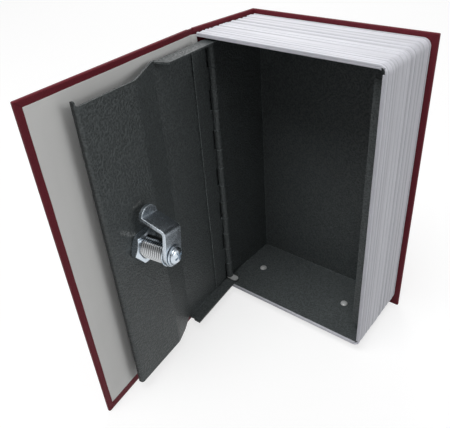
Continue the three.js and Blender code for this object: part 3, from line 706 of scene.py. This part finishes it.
# Ways to set a flat line or outline in space: from above, from the front and from the side

def flat_plan(x, y, z):
    return Vector((x, y, z))


def front_view(x, z, y):
    return Vector((x, y, z))


def side_view(y, z, x):
    return Vector((x, y, z))


def smooth_step(t):
    t = min(1.0, max(0.0, t))
    return t * t * (3 - 2 * t)


def lathe(profile, steps, place):
    """A profile of radius and height turned round the local Z; it closes on itself or on the axis."""
    points = []
    for i in range(steps):
        turn = 2 * math.pi * i / steps
        points += [Vector((r * math.cos(turn), r * math.sin(turn), h)) for r, h in profile]
    return new_mesh(points, strips(steps, len(profile)), place)


def arc_points(centre, radius, start, end, steps):
    """Points of an arc, its angles in degrees."""
    points = []
    for i in range(steps + 1):
        turn = math.radians(start + (end - start) * i / steps)
        points.append((centre[0] + radius * math.cos(turn), centre[1] + radius * math.sin(turn)))
    return points


# Page block

def ridge_profile(depth, sizes):
    """How far the page block's skin lies back at each step of its depth.

    Bands of pages with grooves between them follow on the plain front rim.
    """
    first_band, least_band, fineness = 1.9 * MM, 1.2 * MM, 0.28 * MM
    edges = [first_band]
    i = 0
    while edges[-1] < depth - least_band:
        i += 1
        share = 0.5 + noise.cell(Vector((i * 1.7, 3.3, 0.5)))
        edges.append(min(depth, edges[-1] + sizes.ridge_pitch * share))
    rim_mm = [(0.35, 0.0), (0.12, 0.12), (0.0, 0.4), (0.0, 1.25), (0.18, 1.6)]
    rows = [(sunk * MM, y * MM) for sunk, y in rim_mm]
    for k, (start, end) in enumerate(zip(edges, edges[1:])):
        crest = sizes.groove_depth * (0.05 + 0.3 * noise.cell(Vector((k * 2.3, 7.1, 1.5))))
        floor = sizes.groove_depth * (0.7 + 0.3 * noise.cell(Vector((k * 3.1, 1.1, 4.5))))
        steps = max(5, round((end - start) / fineness))
        for j in range(steps):
            t = j / steps
            swell = math.sin(math.pi * t) ** 0.8 if t else 0.0
            rows.append((floor + (crest - floor) * swell, start + (end - start) * t))
    rows.append((sizes.groove_depth, depth))
    return rows


def page_path(low, high, corner):
    """The page block's outer line: from the spine along the head, down the fore-edge and back."""
    path = []

    def straight(start, end, inward, count):
        for i in range(count):
            path.append((start.lerp(end, i / count), inward))

    def bend(centre, first, last, count=12):
        for i in range(count):
            turn = math.radians(first + (last - first) * i / count)
            out = Vector((math.cos(turn), math.sin(turn)))
            path.append((centre + out * corner, -out))

    right, top, bottom = high.x - corner, high.z - corner, low.z + corner
    straight(Vector((low.x, high.z)), Vector((right, high.z)), Vector((0, -1)), 26)
    bend(Vector((right, top)), 90, 0)
    straight(Vector((high.x, top)), Vector((high.x, bottom)), Vector((-1, 0)), 40)
    bend(Vector((right, bottom)), 0, -90)
    straight(Vector((right, low.z)), Vector((low.x, low.z)), Vector((0, 1)), 26)
    path.append((Vector((low.x, low.z)), Vector((0, 1))))
    return path


class BOOKSAFE_OT_pages(bpy.types.Operator):
    """Moulded page block with its ridges, front rim and cut corners"""

    bl_idname = "book_safe.pages"
    bl_label = "Page block"

    def execute(self, context):
        sizes = context.scene.book_safe_pages
        low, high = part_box("page_shell")
        depth = high.y - low.y
        outer = ridge_profile(depth, sizes)
        wall, rim, sheet = sizes.wall, sizes.rim_width, sizes.rim_depth
        chamfer, seam = 0.25 * MM, 0.2 * MM
        inner = [(wall, depth), (wall, sheet), (rim, sheet), (rim, chamfer), (rim - chamfer, 0.0)]
        inner += [(wall + seam, 0.0), (wall, 0.9 * seam), (wall - seam, 0.0)]
        profile = outer + inner
        path = page_path(low, high, sizes.corner)
        rim_rows, unevenness = 5, 0.05 * MM
        points = []
        for i, (spot, inward) in enumerate(path):
            for k, (sunk, y) in enumerate(profile):
                wander = 0.0
                if rim_rows <= k < len(outer):
                    wander = unevenness * noise.noise(Vector((spot.x * 60, y * 900, spot.y * 60)))
                at = spot + inward * max(0.0, sunk + wander)
                if i in (0, len(path) - 1) and k < len(outer):
                    at.x += sizes.scallop * min(1.0, sunk / sizes.groove_depth)
                points.append(Vector((at.x, low.y + y, at.y)))
        count = len(profile)
        end = (len(path) - 1) * count
        faces = strips(len(path), count, round_rows=False)
        faces += [tuple(range(count)), tuple(range(end, end + count))]
        before, below_rim, above_wall = 1 * MM, 2.2 * MM, 0.1 * MM
        cuts = []
        for z in (high.z - rim - below_rim, low.z + wall + above_wall):
            near = Vector((high.x - wall - sizes.notch_width, low.y - before, z))
            far = Vector((high.x - wall, low.y + sheet, z + sizes.notch_height))
            cuts.append(block_mesh(near, far))
        mesh = carved(new_mesh(points, faces), cuts)
        skin, front = wall - 0.3 * MM, 2 * MM

        # Painted shade: how deep a point lies in a groove, from 0 to 1, sets how much darker it is painted
        def painted_shade_at(spot):
            beyond = Vector((spot.x - high.x, abs(spot.z - (low.z + high.z) / 2) - (high.z - low.z) / 2))
            beyond += Vector((sizes.corner, sizes.corner))
            sunk = sizes.corner - (beyond.length if min(beyond) > 0 else max(beyond))
            return sunk / sizes.groove_depth if sunk < skin and spot.y > low.y + front else 0.0

        mark_painted_shade(mesh, painted_shade_at)
        add_piece("page_block", mesh, "page_plastic", "case", ["page_shell"])
        return {"FINISHED"}


# Steel box

class BOOKSAFE_OT_box(bpy.types.Operator):
    """Folded steel box, the strike strip inside it and the rivets that hold both"""

    bl_idname = "book_safe.box"
    bl_label = "Steel box"

    def execute(self, context):
        for name, node, edge in (("steel_box", "box_tray", 0.5), ("strike_lip", "strike_strip", 0.3)):
            add_piece(name, solid_copy(node), "hammered_steel", "case", [node], edge * MM, 3)
        for node in sorted(n for n in frame["nodes"] if "rivet" in n):
            self.rivet(node)
        return {"FINISHED"}

    def rivet(self, node):
        """A domed head with a thin skirt on its shank."""
        low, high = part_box(node)
        into, sign = (0, 1) if "strike" in node else (2, -1 if "floor" in node else 1)
        size = high - low
        trim, rise, dome = 0.85 * MM, 1.1 * MM, 0.8 * MM
        head = max(size[i] for i in range(3) if i != into) / 2 - trim
        shank, total = head / 2, size[into]
        profile = [(0, total), (shank, total), (shank, rise), (head, rise), (head, dome)]
        profile += [(head * math.cos(a), dome * (1 - math.sin(a))) for a in (0.25, 0.5, 0.8, 1.1, 1.35)]
        profile.append((0, 0))
        start = (low + high) / 2
        start[into] = high[into] if sign < 0 else low[into]
        towards = Vector((0, 0, 0))
        towards[into] = sign
        turn = Vector((0, 0, 1)).rotation_difference(towards).to_matrix().to_4x4()
        mesh = lathe(profile, 28, Matrix.Translation(start) @ turn)
        add_piece(node + "_head", mesh, "rivet_alloy", "case", [node])


# Piano hinge

class BOOKSAFE_OT_hinge(bpy.types.Operator):
    """Piano hinge: both leaves with their curled knuckles, and the pin with its tab"""

    bl_idname = "book_safe.hinge"
    bl_label = "Piano hinge"

    def execute(self, context):
        sizes = context.scene.book_safe_hinge
        pin = Vector(DOOR_JOINT["pos_m"]).to_2d()
        middle = sizes.knuckle - sizes.sheet / 2
        clear = sizes.knuckle + sizes.clearance
        for on_door in (True, False):
            node = "door_hinge_leaf" if on_door else "box_hinge_leaf"
            low, high = shut_box(node, DOOR_OPEN if on_door else Matrix())
            pitch = (high.z - low.z + sizes.gap) / sizes.knuckles
            if on_door:
                far, near = Vector((high.x, pin.y - middle)), Vector((pin.x + clear, pin.y - middle))
                first, turn = -90, -285
            else:
                far, near = Vector((pin.x - middle, high.y)), Vector((pin.x - middle, pin.y + clear))
                first, turn = 180, 285
            parts = [bent_sheet([far, near], sizes.sheet, (low.z, high.z), flat_plan, ("end",))]
            curl = [near] + [Vector(p) for p in arc_points(pin, middle, first, first + turn, 26)]
            for i in range(1 if on_door else 0, sizes.knuckles, 2):
                foot = low.z + i * pitch
                span = (foot, foot + pitch - sizes.gap)
                parts.append(bent_sheet(curl, sizes.sheet, span, flat_plan, ("start",)))
            mesh = joined(parts)
            if on_door:
                mesh.transform(DOOR_OPEN)
            body = "door" if on_door else "case"
            add_piece(node + "_curled", mesh, "hammered_steel", body, [node], edge=0.12 * MM)
        mesh = joined([solid_copy("hinge_pin"), self.tab(sizes, pin)])
        add_piece("pin_and_tab", mesh, "rivet_alloy", "case", ["hinge_pin"], edge=0.15 * MM)
        return {"FINISHED"}

    def tab(self, sizes, pin):
        """A round-ended tab on the pin's foot, just below the lowest knuckle."""
        gap, thick, half = 0.2 * MM, 0.8 * MM, sizes.knuckle
        top = shut_box("door_hinge_leaf", DOOR_OPEN)[0].z - gap
        outline = arc_points(pin, half, 90, 270, 14)
        outline += arc_points((pin.x + sizes.tab_reach, pin.y), half, -90, 90, 14)
        return prism(outline, top - thick, top, flat_plan)


# Door

class BOOKSAFE_OT_door(bpy.types.Operator):
    """Pressed steel door with a set-back free half, a lip and two flanges"""

    bl_idname = "book_safe.door"
    bl_label = "Door"

    def execute(self, context):
        sizes = context.scene.book_safe_door
        low, high = shut_box("door_panel", DOOR_OPEN)
        sheet, zone = sizes.sheet, sizes.fold_zone
        middle = low.y + sheet / 2
        back = middle + sizes.recess
        step = low.x + sizes.flat_width
        edge = high.x - sheet / 2
        overlap, lead = 2.5 * MM, 1 * MM
        meet = step - overlap
        flat = [Vector((low.x, middle)), Vector((meet, middle))]
        span = (low.z + zone, high.z - zone)
        parts = [bent_sheet(flat, sheet, span, flat_plan, ("end", "low", "high"))]
        line = [(meet, middle), (step, middle), (step + sizes.step_run, back), (edge, back)]
        line.append((edge, back + sheet / 2 - sizes.lip))
        line = rounded_line(line, [sizes.bend, sizes.bend, sizes.tight_bend], 9)
        spans = []
        for here in line:
            fall = smooth_step((here.x - step + lead) / (sizes.step_run * 0.9))
            if here.x > edge - sizes.tight_bend:
                fall *= smooth_step((here.y - back + sizes.tight_bend) / sizes.tight_bend)
            spans.append((low.z, high.z - sizes.free_drop * fall))
        parts.append(bent_sheet(line, sheet, spans, flat_plan, ("start",)))
        for head in (True, False):
            parts.append(self.flange(low, high, middle, meet, step, sizes, head))
        through, wide = 9 * MM, 6.2 * MM
        hole = lathe([(0, -through), (wide, -through), (wide, through), (0, through)], 48, lock_place(back))
        mesh = carved(joined(parts), [hole, self.relief(low, middle, step)])
        # Painted shade: the lip's outer face is marked to be painted darker
        lip_face, lip_shade = high.x - 0.05 * MM, 0.8
        mark_painted_shade(mesh, lambda spot: lip_shade * (spot.x > lip_face))
        mesh.transform(DOOR_OPEN)
        add_piece("door_sheet", mesh, "hammered_steel", "door", ["door_panel"], edge=0.22 * MM)
        return {"FINISHED"}

    def flange(self, low, high, middle, meet, step, sizes, head):
        """The flat half's end strip, folded back into the box."""
        pin_x = DOOR_JOINT["pos_m"][0]
        half, zone = sizes.sheet / 2, sizes.fold_zone
        end = high.z - half if head else low.z + half
        start = high.z - zone if head else low.z + zone
        begin = pin_x + (sizes.head_start if head else sizes.foot_start)
        slant = sizes.head_slant if head else sizes.foot_slant
        line = rounded_line([(middle, start), (middle, end), (high.y, end)], [sizes.tight_bend], 6)
        spans = []
        for here in line:
            fold = smooth_step((here.x - middle) / sizes.tight_bend)
            out = max(0.0, (here.x - low.y) / (high.y - low.y))
            reach = meet + (step - meet) * fold + slant * out * fold
            spans.append((low.x + (begin - low.x) * fold, reach))
        return bent_sheet(line, sizes.sheet, spans, side_view, ("start",))

    def relief(self, low, middle, step):
        """A wedge that frees the slope's foot from the end of the foot flange."""
        start, run, rise, past = step - 0.4 * MM, 11 * MM, 3.3 * MM, 0.5 * MM
        before, behind = 1 * MM, 4 * MM
        corners = [(start, low.z - past), (start, low.z + rise), (start + run, low.z - past)]
        return prism(corners, low.y - before, middle + behind, front_view)


# Cam lock

def lock_place(y):
    """A frame on the lock's axis, drawn shut, its Z into the box from depth y."""
    turn = Matrix.Rotation(math.radians(-QUARTER_TURN_DEG), 4, "X")
    return Matrix.Translation((LOCK_AXIS.x, y, LOCK_AXIS.z)) @ turn


def threaded(radius, bore, start, end, sizes, place, around=48, per_turn=8):
    """A threaded sleeve, its thread one unbroken helix."""
    rows = round((end - start) / sizes.thread_pitch * per_turn)
    points = []
    for i in range(around):
        turn = 2 * math.pi * i / around
        out = Vector((math.cos(turn), math.sin(turn)))
        points.append(Vector((*(out * bore), start)))
        for k in range(rows + 1):
            height = start + (end - start) * k / rows
            wave = abs(((height / sizes.thread_pitch - i / around) % 1.0) * 2 - 1)
            ease = min(1.0, 3 * min(k, rows - k) / per_turn)
            r = radius - sizes.thread_depth * (wave * ease + 0.8 * (1 - ease))
            points.append(Vector((*(out * r), height)))
        points.append(Vector((*(out * bore), end)))
    return new_mesh(points, strips(around, rows + 3), place)


class BOOKSAFE_OT_lock(bpy.types.Operator):
    """Cam lock: threaded housing, nut, plug, stop disc, cam, washer and screw"""

    bl_idname = "book_safe.lock"
    bl_label = "Cam lock"

    def execute(self, context):
        sizes = context.scene.book_safe_lock
        self.housing(sizes)
        self.cam(sizes)
        self.washer()
        self.screw(sizes)
        copies = [
            ("nut_on_barrel", "lock_nut", "zinc_steel", "door", 0.35),
            ("plug_in_barrel", "lock_plug", "lock_chrome", "lock", 0.15),
            ("stop_plate", "cam_stop_disc", "zinc_steel", "lock", 0.15),
        ]
        for name, node, finish, body, edge in copies:
            add_piece(name, solid_copy(node), finish, body, [node], edge * MM, 3)
        return {"FINISHED"}

    def housing(self, sizes):
        low, high = shut_box("lock_housing", DOOR_OPEN)
        head, barrel, bore = (high.x - low.x) / 2, 5.9 * MM, sizes.bore
        place = DOOR_OPEN @ lock_place(low.y)
        total, disc = high.y - low.y, sizes.head_height
        # The head's face: how far in from its side and how far up each corner lies
        face_mm = [(2.4, 0), (1.9, 0.25), (0.5, 0.35), (0.12, 0.55), (0, 0.9)]
        profile = [(bore, 0)] + [(head - inwards * MM, up * MM) for inwards, up in face_mm]
        cap = lathe(profile + [(head, disc), (bore, disc)], 56, place)
        mesh = joined([cap, threaded(barrel, bore, disc, total, sizes, place)])
        start, along = LOCK_OPEN_LINE
        inside = bore + 0.2 * MM

        # Painted shade: points down in the thread are marked to be painted darker, by their depth
        def painted_shade_at(spot):
            out = (spot - start - along * (spot - start).dot(along)).length
            return (barrel - out) / sizes.thread_depth if inside < out < barrel else 0.0

        mark_painted_shade(mesh, painted_shade_at)
        add_piece("threaded_housing", mesh, "lock_chrome", "door", ["lock_housing"])

    def cam(self, sizes):
        """A strip bent twice, round at both ends, with the square hole that carries it."""
        high = shut_box("lock_cam", LOCK_OPEN)[1]
        sheet = sizes.cam_sheet
        base = high.y - sheet / 2
        tip = base - sizes.cam_offset
        wide, narrow = sizes.cam_width / 2, sizes.cam_tip_width / 2
        axis = LOCK_AXIS.z
        crown = high.z - narrow
        second = axis + sizes.cam_second_bend
        heel, first_radius, second_radius, least = 1 * MM, 2.6 * MM, 1.2 * MM, 0.3 * MM
        bends = [(base, axis + heel), (base, axis + sizes.cam_first_bend), (tip, second), (tip, high.z)]
        # The rows at the round ends keep clear of each other, so that the edges can be rounded
        line = [Vector((base, axis - wide * math.cos(math.radians(a)))) for a in range(16, 90, 9)]
        line += rounded_line(bends, [first_radius, second_radius], 9)[:-1]
        rows = [crown + narrow * math.sin(math.radians(a)) for a in range(3, 82, 7)]
        line += [Vector((tip, z)) for z in rows if z > line[-1].y + least]
        spans = []
        for here in line:
            share = smooth_step((here.y - axis) / (crown - axis))
            half = wide + (narrow - wide) * share
            if here.y < axis:
                half = math.sqrt(wide ** 2 - (axis - here.y) ** 2)
            elif here.y > crown:
                half = math.sqrt(narrow ** 2 - (here.y - crown) ** 2)
            spans.append((LOCK_AXIS.x - half, LOCK_AXIS.x + half))
        mesh = bent_sheet(line, sheet, spans, side_view)
        play = 0.3 * MM
        hole = sizes.boss / 2 + play
        centre = Vector((LOCK_AXIS.x, base, axis))
        reach = Vector((hole, sheet, hole))
        mesh = carved(mesh, [block_mesh(centre - reach, centre + reach)])
        # The faces of the second bend, on the side away from the door, get the edges' lighter finish as a painted
        # highlight
        near_second = [face for face in mesh.polygons if abs(face.center.z - second) < sheet]
        crease_highlight = [
            face.index for face in near_second
            if face.center.y < (base + tip) / 2 and 0.4 < face.normal.y < 0.97 and face.normal.z > 0.1
        ]
        mesh.transform(LOCK_OPEN)
        piece = add_piece("bent_cam", mesh, "zinc_steel", "lock", ["lock_cam"], edge=0.22 * MM)
        for index in crease_highlight:
            piece.data.polygons[index].material_index = 1

    def washer(self):
        low, high = shut_box("cam_washer", LOCK_OPEN)
        radius, thick = (high.x - low.x) / 2, high.y - low.y
        bore, slope = 2.1 * MM, 0.25 * MM
        profile = [(bore, 0), (radius, 0), (radius, thick * 0.6), (radius - slope, thick), (bore, thick)]
        mesh = lathe(profile, 48, LOCK_OPEN @ lock_place(low.y))
        add_piece("round_washer", mesh, "zinc_steel", "lock", ["cam_washer"])

    def screw(self, sizes):
        low, high = shut_box("cam_screw", LOCK_OPEN)
        rise, shank, deep, turned_deg = 1.9 * MM, 1.8 * MM, 1.15 * MM, 24
        head, total = (high.x - low.x) / 2, high.y - low.y
        seat = total - rise
        angles = (0.25, 0.5, 0.75, 1.0, 1.25, 1.42)
        profile = [(0, 0), (shank, 0), (shank, seat), (head, seat)]
        profile += [(head * math.cos(a), seat + rise * math.sin(a)) for a in angles]
        profile.append((0, total))
        mesh = lathe(profile, 48, lock_place(low.y))
        centre = Vector((LOCK_AXIS.x, high.y, LOCK_AXIS.z))
        long, wide = sizes.recess_length / 2, sizes.recess_width / 2
        reaches = [Vector((long, deep, wide)), Vector((wide, deep, long))]
        mesh = carved(mesh, [block_mesh(centre - reach, centre + reach) for reach in reaches])
        mesh.transform(LOCK_OPEN @ opened(LOCK_AXIS, (0, 1, 0), turned_deg))
        add_piece("cross_head_screw", mesh, "zinc_steel", "lock", ["cam_screw"], edge=0.12 * MM)


# Covers

def paper_sheet(low, high, inner_up, raise_by, sizes):
    """A pasted endpaper: it dips inside the turned-in cloth and its edges waver a little.

    inner_up is the direction of y in which the paper faces.
    """
    across, up = 56, 84
    waver, overlap = 0.12 * MM, 3 * MM
    slope, middle = 1.2 * MM, 0.5 * MM
    points = []
    base = low.y if inner_up > 0 else high.y
    for i in range(across + 1):
        for k in range(up + 1):
            s, t = i / across, k / up
            x = low.x + (high.x - low.x) * s
            z = low.z + (high.z - low.z) * t
            if i in (0, across):
                x += waver * noise.noise(Vector((z * 70, 4.1, s))) * (1 if i else -1)
            if k in (0, up):
                z += waver * noise.noise(Vector((x * 70, 9.7, t)))
            margin = min(high.x - x, z - low.z, high.z - z) - (sizes.turn_in - overlap)
            dip = smooth_step((margin + middle) / slope)
            points.append(Vector((x, base + inner_up * raise_by * (1 - dip), z)))
    count, back = up + 1, len(points)
    faces = strips(across + 1, count, False, False)
    faces += [tuple(back + i for i in reversed(face)) for face in faces]
    points += [p - Vector((0, inner_up * sizes.paper * PRESSED, 0)) for p in points]
    rim = [i * count for i in range(across + 1)]
    rim += [across * count + k for k in range(1, up + 1)]
    rim += [i * count + up for i in range(across - 1, -1, -1)]
    rim += range(up - 1, 0, -1)
    faces += [(a, b, back + b, back + a) for a, b in zip(rim, rim[1:] + rim[:1])]
    return new_mesh(points, faces)


def turned_in(low, high, y, facing, sizes):
    """Strips of cloth turned in over a board's edges, mitred at the corners; the gutter side has none."""
    width, thick = sizes.turn_in, sizes.cloth * PRESSED
    gap, inset = 0.12 * MM, 0.35 * MM
    x0, x1, z0, z1 = low.x, high.x - inset, low.z + inset, high.z - inset
    fold_x, foot_z, head_z = high.x - width, low.z + width, high.z - width
    flaps = [
        [(x0, z0), (x1 - gap, z0), (fold_x - gap, foot_z), (x0, foot_z)],
        [(x0, z1), (x1 - gap, z1), (fold_x - gap, head_z), (x0, head_z)],
        [(x1, z0 + gap), (x1, z1 - gap), (fold_x, head_z - gap), (fold_x, foot_z + gap)],
    ]
    return joined([prism(flap, y, y + facing * thick, front_view) for flap in flaps])


class BOOKSAFE_OT_covers(bpy.types.Operator):
    """Cloth-covered spine and covers with their turned-in edges and endpapers"""

    bl_idname = "book_safe.covers"
    bl_label = "Covers"

    def execute(self, context):
        sizes = context.scene.book_safe_covers
        self.case(sizes)
        self.front(sizes)
        return {"FINISHED"}

    def case(self, sizes):
        low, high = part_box("case_cloth")
        thick = sizes.thickness
        x, y = low.x + thick / 2, high.y - thick / 2
        line = [Vector((x, low.y)), Vector((x, y)), Vector((high.x, y))]
        mesh = bent_sheet(line, thick, (low.z, high.z), flat_plan)
        add_piece("spine_and_back", mesh, "binding_cloth", "case", ["case_cloth"], sizes.edge, 4)
        inner = high.y - thick
        flaps = turned_in(Vector((low.x + thick, 0, low.z)), high, inner, -1, sizes)
        add_piece("back_turn_ins", flaps, "binding_cloth", "case", edge=0.08 * MM)
        page_low, page_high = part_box("page_shell")
        hidden = Vector((sizes.hidden_paper, 0, sizes.hidden_paper))
        paper_low, paper_high = page_low + hidden, page_high - hidden
        paper_high.y = inner
        mesh = paper_sheet(paper_low, paper_high, -1, sizes.cloth, sizes)
        add_piece("back_paper", mesh, "endpaper", "case", ["back_endpaper"])

    def front(self, sizes):
        low, high = shut_box("front_cloth", COVER_OPEN)
        thick = high.y - low.y - sizes.cloth * PRESSED
        middle = low.y + thick / 2
        line = [Vector((low.x, middle)), Vector((high.x, middle))]
        mesh = bent_sheet(line, thick, (low.z, high.z), flat_plan)
        mesh.transform(COVER_OPEN)
        add_piece("front_cover", mesh, "binding_cloth", "cover", ["front_cloth"], sizes.edge, 4)
        flaps = turned_in(low, high, low.y + thick, 1, sizes)
        flaps.transform(COVER_OPEN)
        add_piece("front_turn_ins", flaps, "binding_cloth", "cover", edge=0.08 * MM)
        paper_low, paper_high = shut_box("front_endpaper", COVER_OPEN)
        paper_low.y = low.y + thick + sizes.paper * PRESSED
        mesh = paper_sheet(paper_low, paper_high, 1, sizes.cloth * PRESSED, sizes)
        mesh.transform(COVER_OPEN)
        add_piece("front_paper", mesh, "endpaper", "cover", ["front_endpaper"])


class BOOKSAFE_OT_gutter(bpy.types.Operator):
    """Cloth joint between the spine and the front cover, drawn in two halves as it lies with the cover open"""

    bl_idname = "book_safe.gutter"
    bl_label = "Gutter"

    def execute(self, context):
        sizes = context.scene.book_safe_covers
        pivot, far = Vector(COVER_JOINT["pos_m"]), Vector(joint("cover_swing")["pos_m"])
        case_low, case_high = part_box("case_cloth")
        inset = sizes.gutter_inset
        overlap, near_bend, far_bend = 1.2 * MM, 0.6 * MM, 0.7 * MM
        spine_end = Vector((pivot.x, case_low.y + overlap, 0))
        cover_mark = COVER_OPEN @ Vector((pivot.x + sizes.gutter + overlap, pivot.y, 0))
        near = Vector((pivot.x, pivot.y, 0))
        middle = near.lerp(COVER_OPEN @ Vector((pivot.x + sizes.gutter, pivot.y, 0)), 0.5)
        span = (case_low.z + inset, case_high.z - inset)
        halves = [
            ("gutter_at_spine", spine_end, middle, "case", "gutter", case_low.y, near.y - near_bend),
            ("gutter_at_cover", middle, cover_mark, "gutter", "cover", far.y + far_bend, far.y - far_bend),
        ]
        paper_low, paper_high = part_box("front_endpaper")
        paper_span = (paper_low.z, paper_high.z)
        page_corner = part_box("page_shell")[0] + Vector((0, sizes.cloth, 0))
        inwards = Vector(((sizes.gutter_cloth + 2 * sizes.paper) / 2, 0, 0))
        for name, start, end, first, second, begin_y, end_y in halves:
            nodes = ["gutter_cloth"] if second == "gutter" else ()
            cloth = self.strip(start, end, sizes.gutter_cloth, span)
            paper_start = page_corner if first == "case" else start + inwards
            paper = self.strip(paper_start, end + inwards, sizes.paper, paper_span)
            pieces = [
                add_piece(name, cloth, "binding_cloth", None, nodes),
                add_piece(name.replace("gutter", "paper_joint"), paper, "endpaper", None),
            ]
            for piece in pieces:
                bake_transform(piece)
        return {"FINISHED"}

    def strip(self, start, end, thick, span):
        """A strip of cloth with enough steps across it to bend."""
        steps = 14
        line = [start.to_2d().lerp(end.to_2d(), i / steps) for i in range(steps + 1)]
        return bent_sheet(line, thick, span, flat_plan)


class BOOKSAFE_OT_hidden(bpy.types.Operator):
    """Finishes for the solids that stay as they are, inside the covers and the lock"""

    bl_idname = "book_safe.hidden"
    bl_label = "Boards and wafers"

    def execute(self, context):
        for node, piece in frame["nodes"].items():
            if "board" in node or "wafer" in node:
                finish = "binders_board" if "board" in node else "wafer_brass"
                piece.data.materials.clear()
                piece.data.materials.append(bpy.data.materials[FINISH + finish])
        return {"FINISHED"}


# Stage

def seen_rays(g):
    """Masks of the camera's rays, and of those that come off gloss or through glass."""
    path = g.node("ShaderNodeLightPath").outputs
    return path["Is Camera Ray"], g.math("MAXIMUM", path["Is Glossy Ray"], path["Is Transmission Ray"])


class BOOKSAFE_OT_stage(bpy.types.Operator):
    """Camera, pale floor and soft studio light"""

    bl_idname = "book_safe.stage"
    bl_label = "Stage"

    def execute(self, context):
        sizes = context.scene.book_safe_stage
        context.scene.view_settings.view_transform = "Standard"
        self.camera(context, sizes)
        self.floor(sizes)
        self.world(context, sizes)
        for name, (place, width, power) in LAMPS.items():
            self.lamp(name, Vector(place), width, getattr(sizes, power))
        return {"FINISHED"}

    def camera(self, context, sizes):
        low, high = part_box("page_shell")
        corner = Vector((high.x - sizes.block_width, low.y, low.z))
        az, el = sizes.azimuth, sizes.elevation
        ahead = Vector((math.cos(el) * math.cos(az), math.cos(el) * math.sin(az), math.sin(el)))
        level = ahead.cross(Vector((0, 0, 1))).normalized()
        down = ahead.cross(level)
        right = level * math.cos(sizes.roll) + down * math.sin(sizes.roll)
        fall = down * math.cos(sizes.roll) - level * math.sin(sizes.roll)
        data = bpy.data.cameras.new("camera")
        data.lens = sizes.focal_px / sizes.width_px * data.sensor_width
        data.shift_x = (sizes.width_px / 2 - sizes.centre_x_px) / sizes.width_px
        data.shift_y = (sizes.centre_y_px - sizes.height_px / 2) / sizes.width_px
        data.clip_start = 0.01
        camera = new_object("camera", data)
        turn = Matrix((right, -fall, -ahead)).transposed().to_4x4()
        camera.matrix_world = Matrix.Translation(corner + Vector(sizes.camera_place)) @ turn
        context.scene.camera = camera

    def floor(self, sizes):
        reach = 6.0
        corners = [(-reach, -reach, 0), (reach, -reach, 0), (reach, reach, 0), (-reach, reach, 0)]
        mesh = bpy.data.meshes.new("floor")
        mesh.from_pydata(corners, [], [(0, 1, 2, 3)])
        made = bpy.data.materials.new("floor")
        made.use_nodes = True
        g = Graph(made.node_tree)
        grey = sizes.floor_grey
        matt = g.node("ShaderNodeBsdfDiffuse", {"Color": (grey, grey, grey, 1.0)})
        lift = g.math("MULTIPLY", g.math("MAXIMUM", *seen_rays(g)), 1.0 - grey * 0.8)
        glow = g.node("ShaderNodeEmission", {"Color": (1, 1, 1, 1), "Strength": lift})
        both = g.node("ShaderNodeAddShader", {0: matt.outputs[0], 1: glow.outputs[0]})
        g.node("ShaderNodeOutputMaterial", {"Surface": both.outputs[0]})
        mesh.materials.append(made)
        new_object("floor", mesh)

    def world(self, context, sizes):
        world = bpy.data.worlds.new("studio")
        world.use_nodes = True
        g = Graph(world.node_tree)
        camera, mirrored = seen_rays(g)
        direction = g.node("ShaderNodeTexCoord").outputs["Generated"]
        heading = g.node("ShaderNodeSeparateXYZ", {"Vector": direction}).outputs
        room = g.ramp(heading["Z"], 0.0, 0.35, 1.0, sizes.ceiling)
        even = g.ramp(heading["Y"], -1.0, 0.1, sizes.sky * 0.3, sizes.sky)
        seen = g.math("MAXIMUM", g.math("MULTIPLY", mirrored, room), camera)
        unseen = g.math("SUBTRACT", 1.0, g.math("MAXIMUM", mirrored, camera))
        strength = g.math("MULTIPLY_ADD", unseen, even, seen)
        sky = g.node("ShaderNodeBackground", {"Color": (1, 1, 1, 1), "Strength": strength})
        g.node("ShaderNodeOutputWorld", {"Surface": sky.outputs[0]})
        context.scene.world = world

    def lamp(self, name, place, width, watts):
        data = bpy.data.lights.new(name, "AREA")
        data.shape, data.size, data.energy = "DISK", width, watts
        lamp = new_object(name, data)
        lamp.location = place
        lamp.rotation_mode = "QUATERNION"
        middle = Vector((0, 0, 0.09))
        lamp.rotation_quaternion = (middle - place).to_track_quat("-Z", "Y")


class BOOKSAFE_PT_panel(bpy.types.Panel):
    """Lists the steps that make the book safe"""

    bl_label = "Book safe"
    bl_idname = "BOOKSAFE_PT_panel"
    bl_space_type = "VIEW_3D"
    bl_region_type = "UI"
    bl_category = "Book safe"

    def draw(self, context):
        for step in STEPS:
            self.layout.operator(step.bl_idname)
        for group in SIZE_GROUPS:
            sizes = getattr(context.scene, group)
            for label in sizes.__annotations__:
                self.layout.prop(sizes, label)


SIZE_GROUPS = {
    "book_safe_pages": PageSizes,
    "book_safe_door": DoorSizes,
    "book_safe_hinge": HingeSizes,
    "book_safe_lock": LockSizes,
    "book_safe_covers": CoverSizes,
    "book_safe_finishes": Finishes,
    "book_safe_stage": StageSizes,
}
STEPS = (
    BOOKSAFE_OT_finishes,
    BOOKSAFE_OT_stage,
    BOOKSAFE_OT_pages,
    BOOKSAFE_OT_box,
    BOOKSAFE_OT_hinge,
    BOOKSAFE_OT_door,
    BOOKSAFE_OT_lock,
    BOOKSAFE_OT_covers,
    BOOKSAFE_OT_gutter,
    BOOKSAFE_OT_hidden,
)


def register():
    for cls in (*SIZE_GROUPS.values(), *STEPS, BOOKSAFE_PT_panel):
        bpy.utils.register_class(cls)
    for name, cls in SIZE_GROUPS.items():
        setattr(bpy.types.Scene, name, PointerProperty(type=cls))


def unregister():
    for name in SIZE_GROUPS:
        delattr(bpy.types.Scene, name)
    for cls in (BOOKSAFE_PT_panel, *reversed(STEPS), *reversed(SIZE_GROUPS.values())):
        bpy.utils.unregister_class(cls)


def main():
    register()
    for step in STEPS:
        folder, _, label = step.bl_idname.partition(".")
        getattr(getattr(bpy.ops, folder), label)()


if __name__ == "__main__":
    main()
